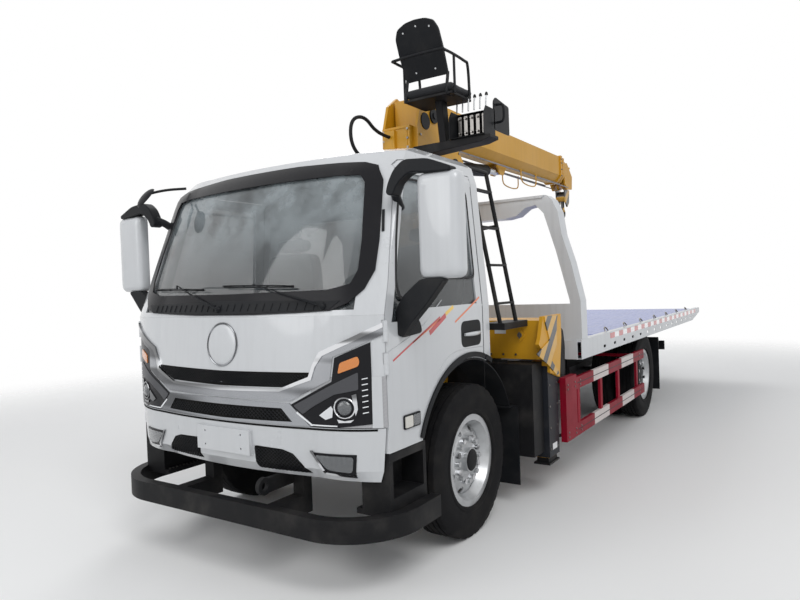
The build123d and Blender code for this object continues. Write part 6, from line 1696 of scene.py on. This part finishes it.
def make_outrigger_trim(_):
    """Banded yokes and leg plates with their tags and bolts."""
    for side, name in SIDES:
        beam = "outrigger_beam_" + name
        yoke = Shape().prism(rounded(YOKE, 0.014), "y", *span(side, 1.2215, 1.2300))
        yoke.finish("yoke_plate_" + name, beam, "hazard", bevel=0.0015)
        face = Shape()
        for k in range(4):
            wall = [LEG_OUTER[k], LEG_OUTER[(k + 1) % 4], LEG_INNER[(k + 1) % 4], LEG_INNER[k]]
            face.prism([(x, y * side) for x, y in wall], "z", 0.302, 0.985)
        face.finish("leg_plate_" + name, beam, "leg_face", bevel=0.001)
        Shape().prism(LEG_TAG, "y", *span(side, 1.2011, 1.2026)).finish("leg_tag_" + name, beam, "blank_white")
        spots = product((-1.075, -0.925), (0.36, 0.52, 0.68, 0.84, 0.98))
        heads = [((x, LEG_FACE_Y * side, z), (0, side, 0)) for x, z in spots]
        bolts("leg_bolts_" + name, beam, heads, 0.008, 0.005, "grease")


def make_housing_trim(_):
    """Splash plates, hose covers, tie loops, diamond plates, latches, bolts and step studs."""
    for side, name in SIDES:
        splash = Shape().box((-0.753, -0.749), span(side, 0.42, 0.95), (0.800, 1.043))
        splash.finish("splash_plate_" + name, "truck", "chassis_black")
        cover = Shape().prism(rounded(HOSE_COVER, 0.030), "y", *span(side, 1.150, 1.158))
        cover.finish("hose_cover_" + name, "truck", "chassis_black", bevel=0.002)
        ring = [(x, 1.170 * side, z) for x, z in rounded(TIE_LOOP, 0.06, 6)]
        Shape().tube(ring, 0.012, 10, closed=True).finish("tie_loop_" + name, "truck", "chassis_black")
        corners = ((-0.050, 0), (0, -0.055), (0.050, 0), (0, 0.055))
        diamond = rounded([(LATCH_Y * side + dy, LATCH_Z + dz) for dy, dz in corners], 0.006)
        plate = Shape().prism(diamond, "x", HOUSING_FACE_X, -0.788)
        plate.finish("diamond_plate_" + name, "truck", "crane_yellow", bevel=0.001)
        latch = Shape().disc((0, LATCH_Y * side, LATCH_Z), 0.018, -0.788, -0.781, "x", 20)
        latch.box((-0.781, -0.777), span(side, LATCH_Y - 0.004, LATCH_Y + 0.004), (1.196, 1.248))
        latch.finish("housing_latch_" + name, "truck", "grease", bevel=0.001)
        label = Shape().box((HOUSING_FACE_X, -0.7925), span(side, 0.835, 0.925), (1.232, 1.284))
        label.finish("housing_label_" + name, "truck", "blank_white", slot="crane_yellow")
        spots = product([0.30 + 0.10 * k for k in range(8)], (1.078, 1.300))
        heads = [((HOUSING_FACE_X, y * side, z), (1, 0, 0)) for y, z in spots]
        bolts("housing_bolts_" + name, "truck", heads, 0.009, 0.006, "grease", slot="crane_yellow")
        spots = product(range(12), range(5))
        studs = [((0.590 + 0.028 * i, (0.825 + 0.034 * j) * side, STEP_TOP_Z), (0, 0, 1)) for i, j in spots]
        bolts("step_studs_" + name, "truck", studs, 0.009, 0.004, "grease", 10, "chassis_black")


# Bed, guards and tail

TAPE_START_X, TAPE_END_X = -2.400, -7.000
TIE_RING = (
    (-0.045, 1.165, 1.110), (-0.035, 1.150, 1.140), (0, 1.142, 1.152), (0.035, 1.150, 1.140), (0.045, 1.165, 1.110),
)
TIE_PLATE = ((-0.060, 1.170), (-0.060, 1.145), (0.060, 1.145), (0.060, 1.170))


def make_bed_trim(sizes):
    """Reflector tape and tie-down rings along the bed's side rails."""
    for side, name in SIDES:
        for key, slot, first in (("stripe_red", "guard_red_white", 0), ("white_lens", "lamp", 1)):
            shape = Shape()
            x = TAPE_START_X - first * sizes.tape_band
            while x > TAPE_END_X:
                shape.box((x - sizes.tape_band, x), span(side, BED_FACE_Y, BED_FACE_Y + 0.0012), (1.062, 1.112))
                x -= 2 * sizes.tape_band
            shape.finish(f"bed_reflector_{key}_{name}", "bed", key, slot=slot)
        rings = Shape()
        for k in range(7):
            x = -2.600 - 0.700 * k
            rings.tube(smooth_path([(x + dx, y * side, z) for dx, y, z in TIE_RING], 5), 0.007, 8)
            rings.prism([(x + dx, y * side) for dx, y in TIE_PLATE], "z", 1.1068, 1.113)
        rings.finish("tie_rings_" + name, "bed", "grease", bevel=0.001)


def make_guard_trim(_):
    """Posts, grooves and bolts of the side guards, and the tail lamps."""
    for side, name in SIDES:
        posts, grooves = Shape(), Shape()
        for x in (-1.455, -2.080, -2.650):
            posts.box((x - 0.030, x + 0.030), span(side, 1.224, 1.248), (0.466, 0.742))
        posts.finish("guard_posts_" + name, "truck", "guard_post", bevel=0.003)
        # Painted shade: near-black strips along the beams stand for the shade in their grooves.
        for z in (0.417, 0.788):
            grooves.box((-3.655, -1.420), span(side, 1.2495, 1.2507), (z - 0.0035, z + 0.0035))
        grooves.finish("guard_grooves_" + name, "truck", "leg_face", slot="guard_red_white")
        spots = product((-1.19, -1.36, -1.49, -3.467), (0.400, 0.435, 0.770, 0.806))
        heads = [((x, 1.250 * side, z), (0, side, 0)) for x, z in spots]
        bolts("guard_bolts_" + name, "truck", heads, 0.008, 0.005, "grease")
        for y, key in ((0.815, "amber_lens"), (0.915, "red_lens"), (1.030, "white_lens")):
            lamp = Shape().dome((-5.593, y * side, 0.700), (-1, 0, 0), 0.038, 0.014, 28, 6)
            lamp.finish(f"tail_{key}_{name}", "truck", key, sharp=60)


OPERATORS = tuple(
    operator(make)
    for make in (
        make_camera, make_finishes, make_stage, make_hoses, make_tyres, make_windscreen, make_front_disc, make_grille,
        make_headlamps, make_bumper, make_door_trim, make_mirrors, make_cab_interior, make_wheel_nuts,
        make_operator_station, make_turret_trim, make_outrigger_trim, make_housing_trim, make_rope, make_bed_trim,
        make_guard_trim,
    )
)


class TRUCK_PT_dressing(bpy.types.Panel):
    """Lists the truck's sizes, colours and pieces."""

    bl_idname = "TRUCK_PT_dressing"
    bl_label = "Tow truck"
    bl_space_type = "VIEW_3D"
    bl_region_type = "UI"
    bl_category = "Tow truck"

    def draw(self, context):
        for group in (context.scene.tow_truck_finishes, context.scene.tow_truck_sizes):
            for key in group.__annotations__:
                self.layout.prop(group, key)
        for made in OPERATORS:
            self.layout.operator(made.bl_idname)


CLASSES = (TruckFinishes, TruckSizes) + OPERATORS + (TRUCK_PT_dressing,)


def register():
    for made in CLASSES:
        bpy.utils.register_class(made)
    bpy.types.Scene.tow_truck_finishes = PointerProperty(type=TruckFinishes)
    bpy.types.Scene.tow_truck_sizes = PointerProperty(type=TruckSizes)


def unregister():
    del bpy.types.Scene.tow_truck_sizes
    del bpy.types.Scene.tow_truck_finishes
    for made in reversed(CLASSES):
        bpy.utils.unregister_class(made)


def main():
    """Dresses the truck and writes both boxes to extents.json."""
    register()
    for made in OPERATORS:
        group, name = made.bl_idname.split(".")
        getattr(getattr(bpy.ops, group), name)()
    boxes = {"cad": [list(c) for c in CAD_BOX], "scene": [list(c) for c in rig.bounds()]}
    with open("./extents.json", "w") as out:
        json.dump(boxes, out)


if __name__ == "__main__":
    main()
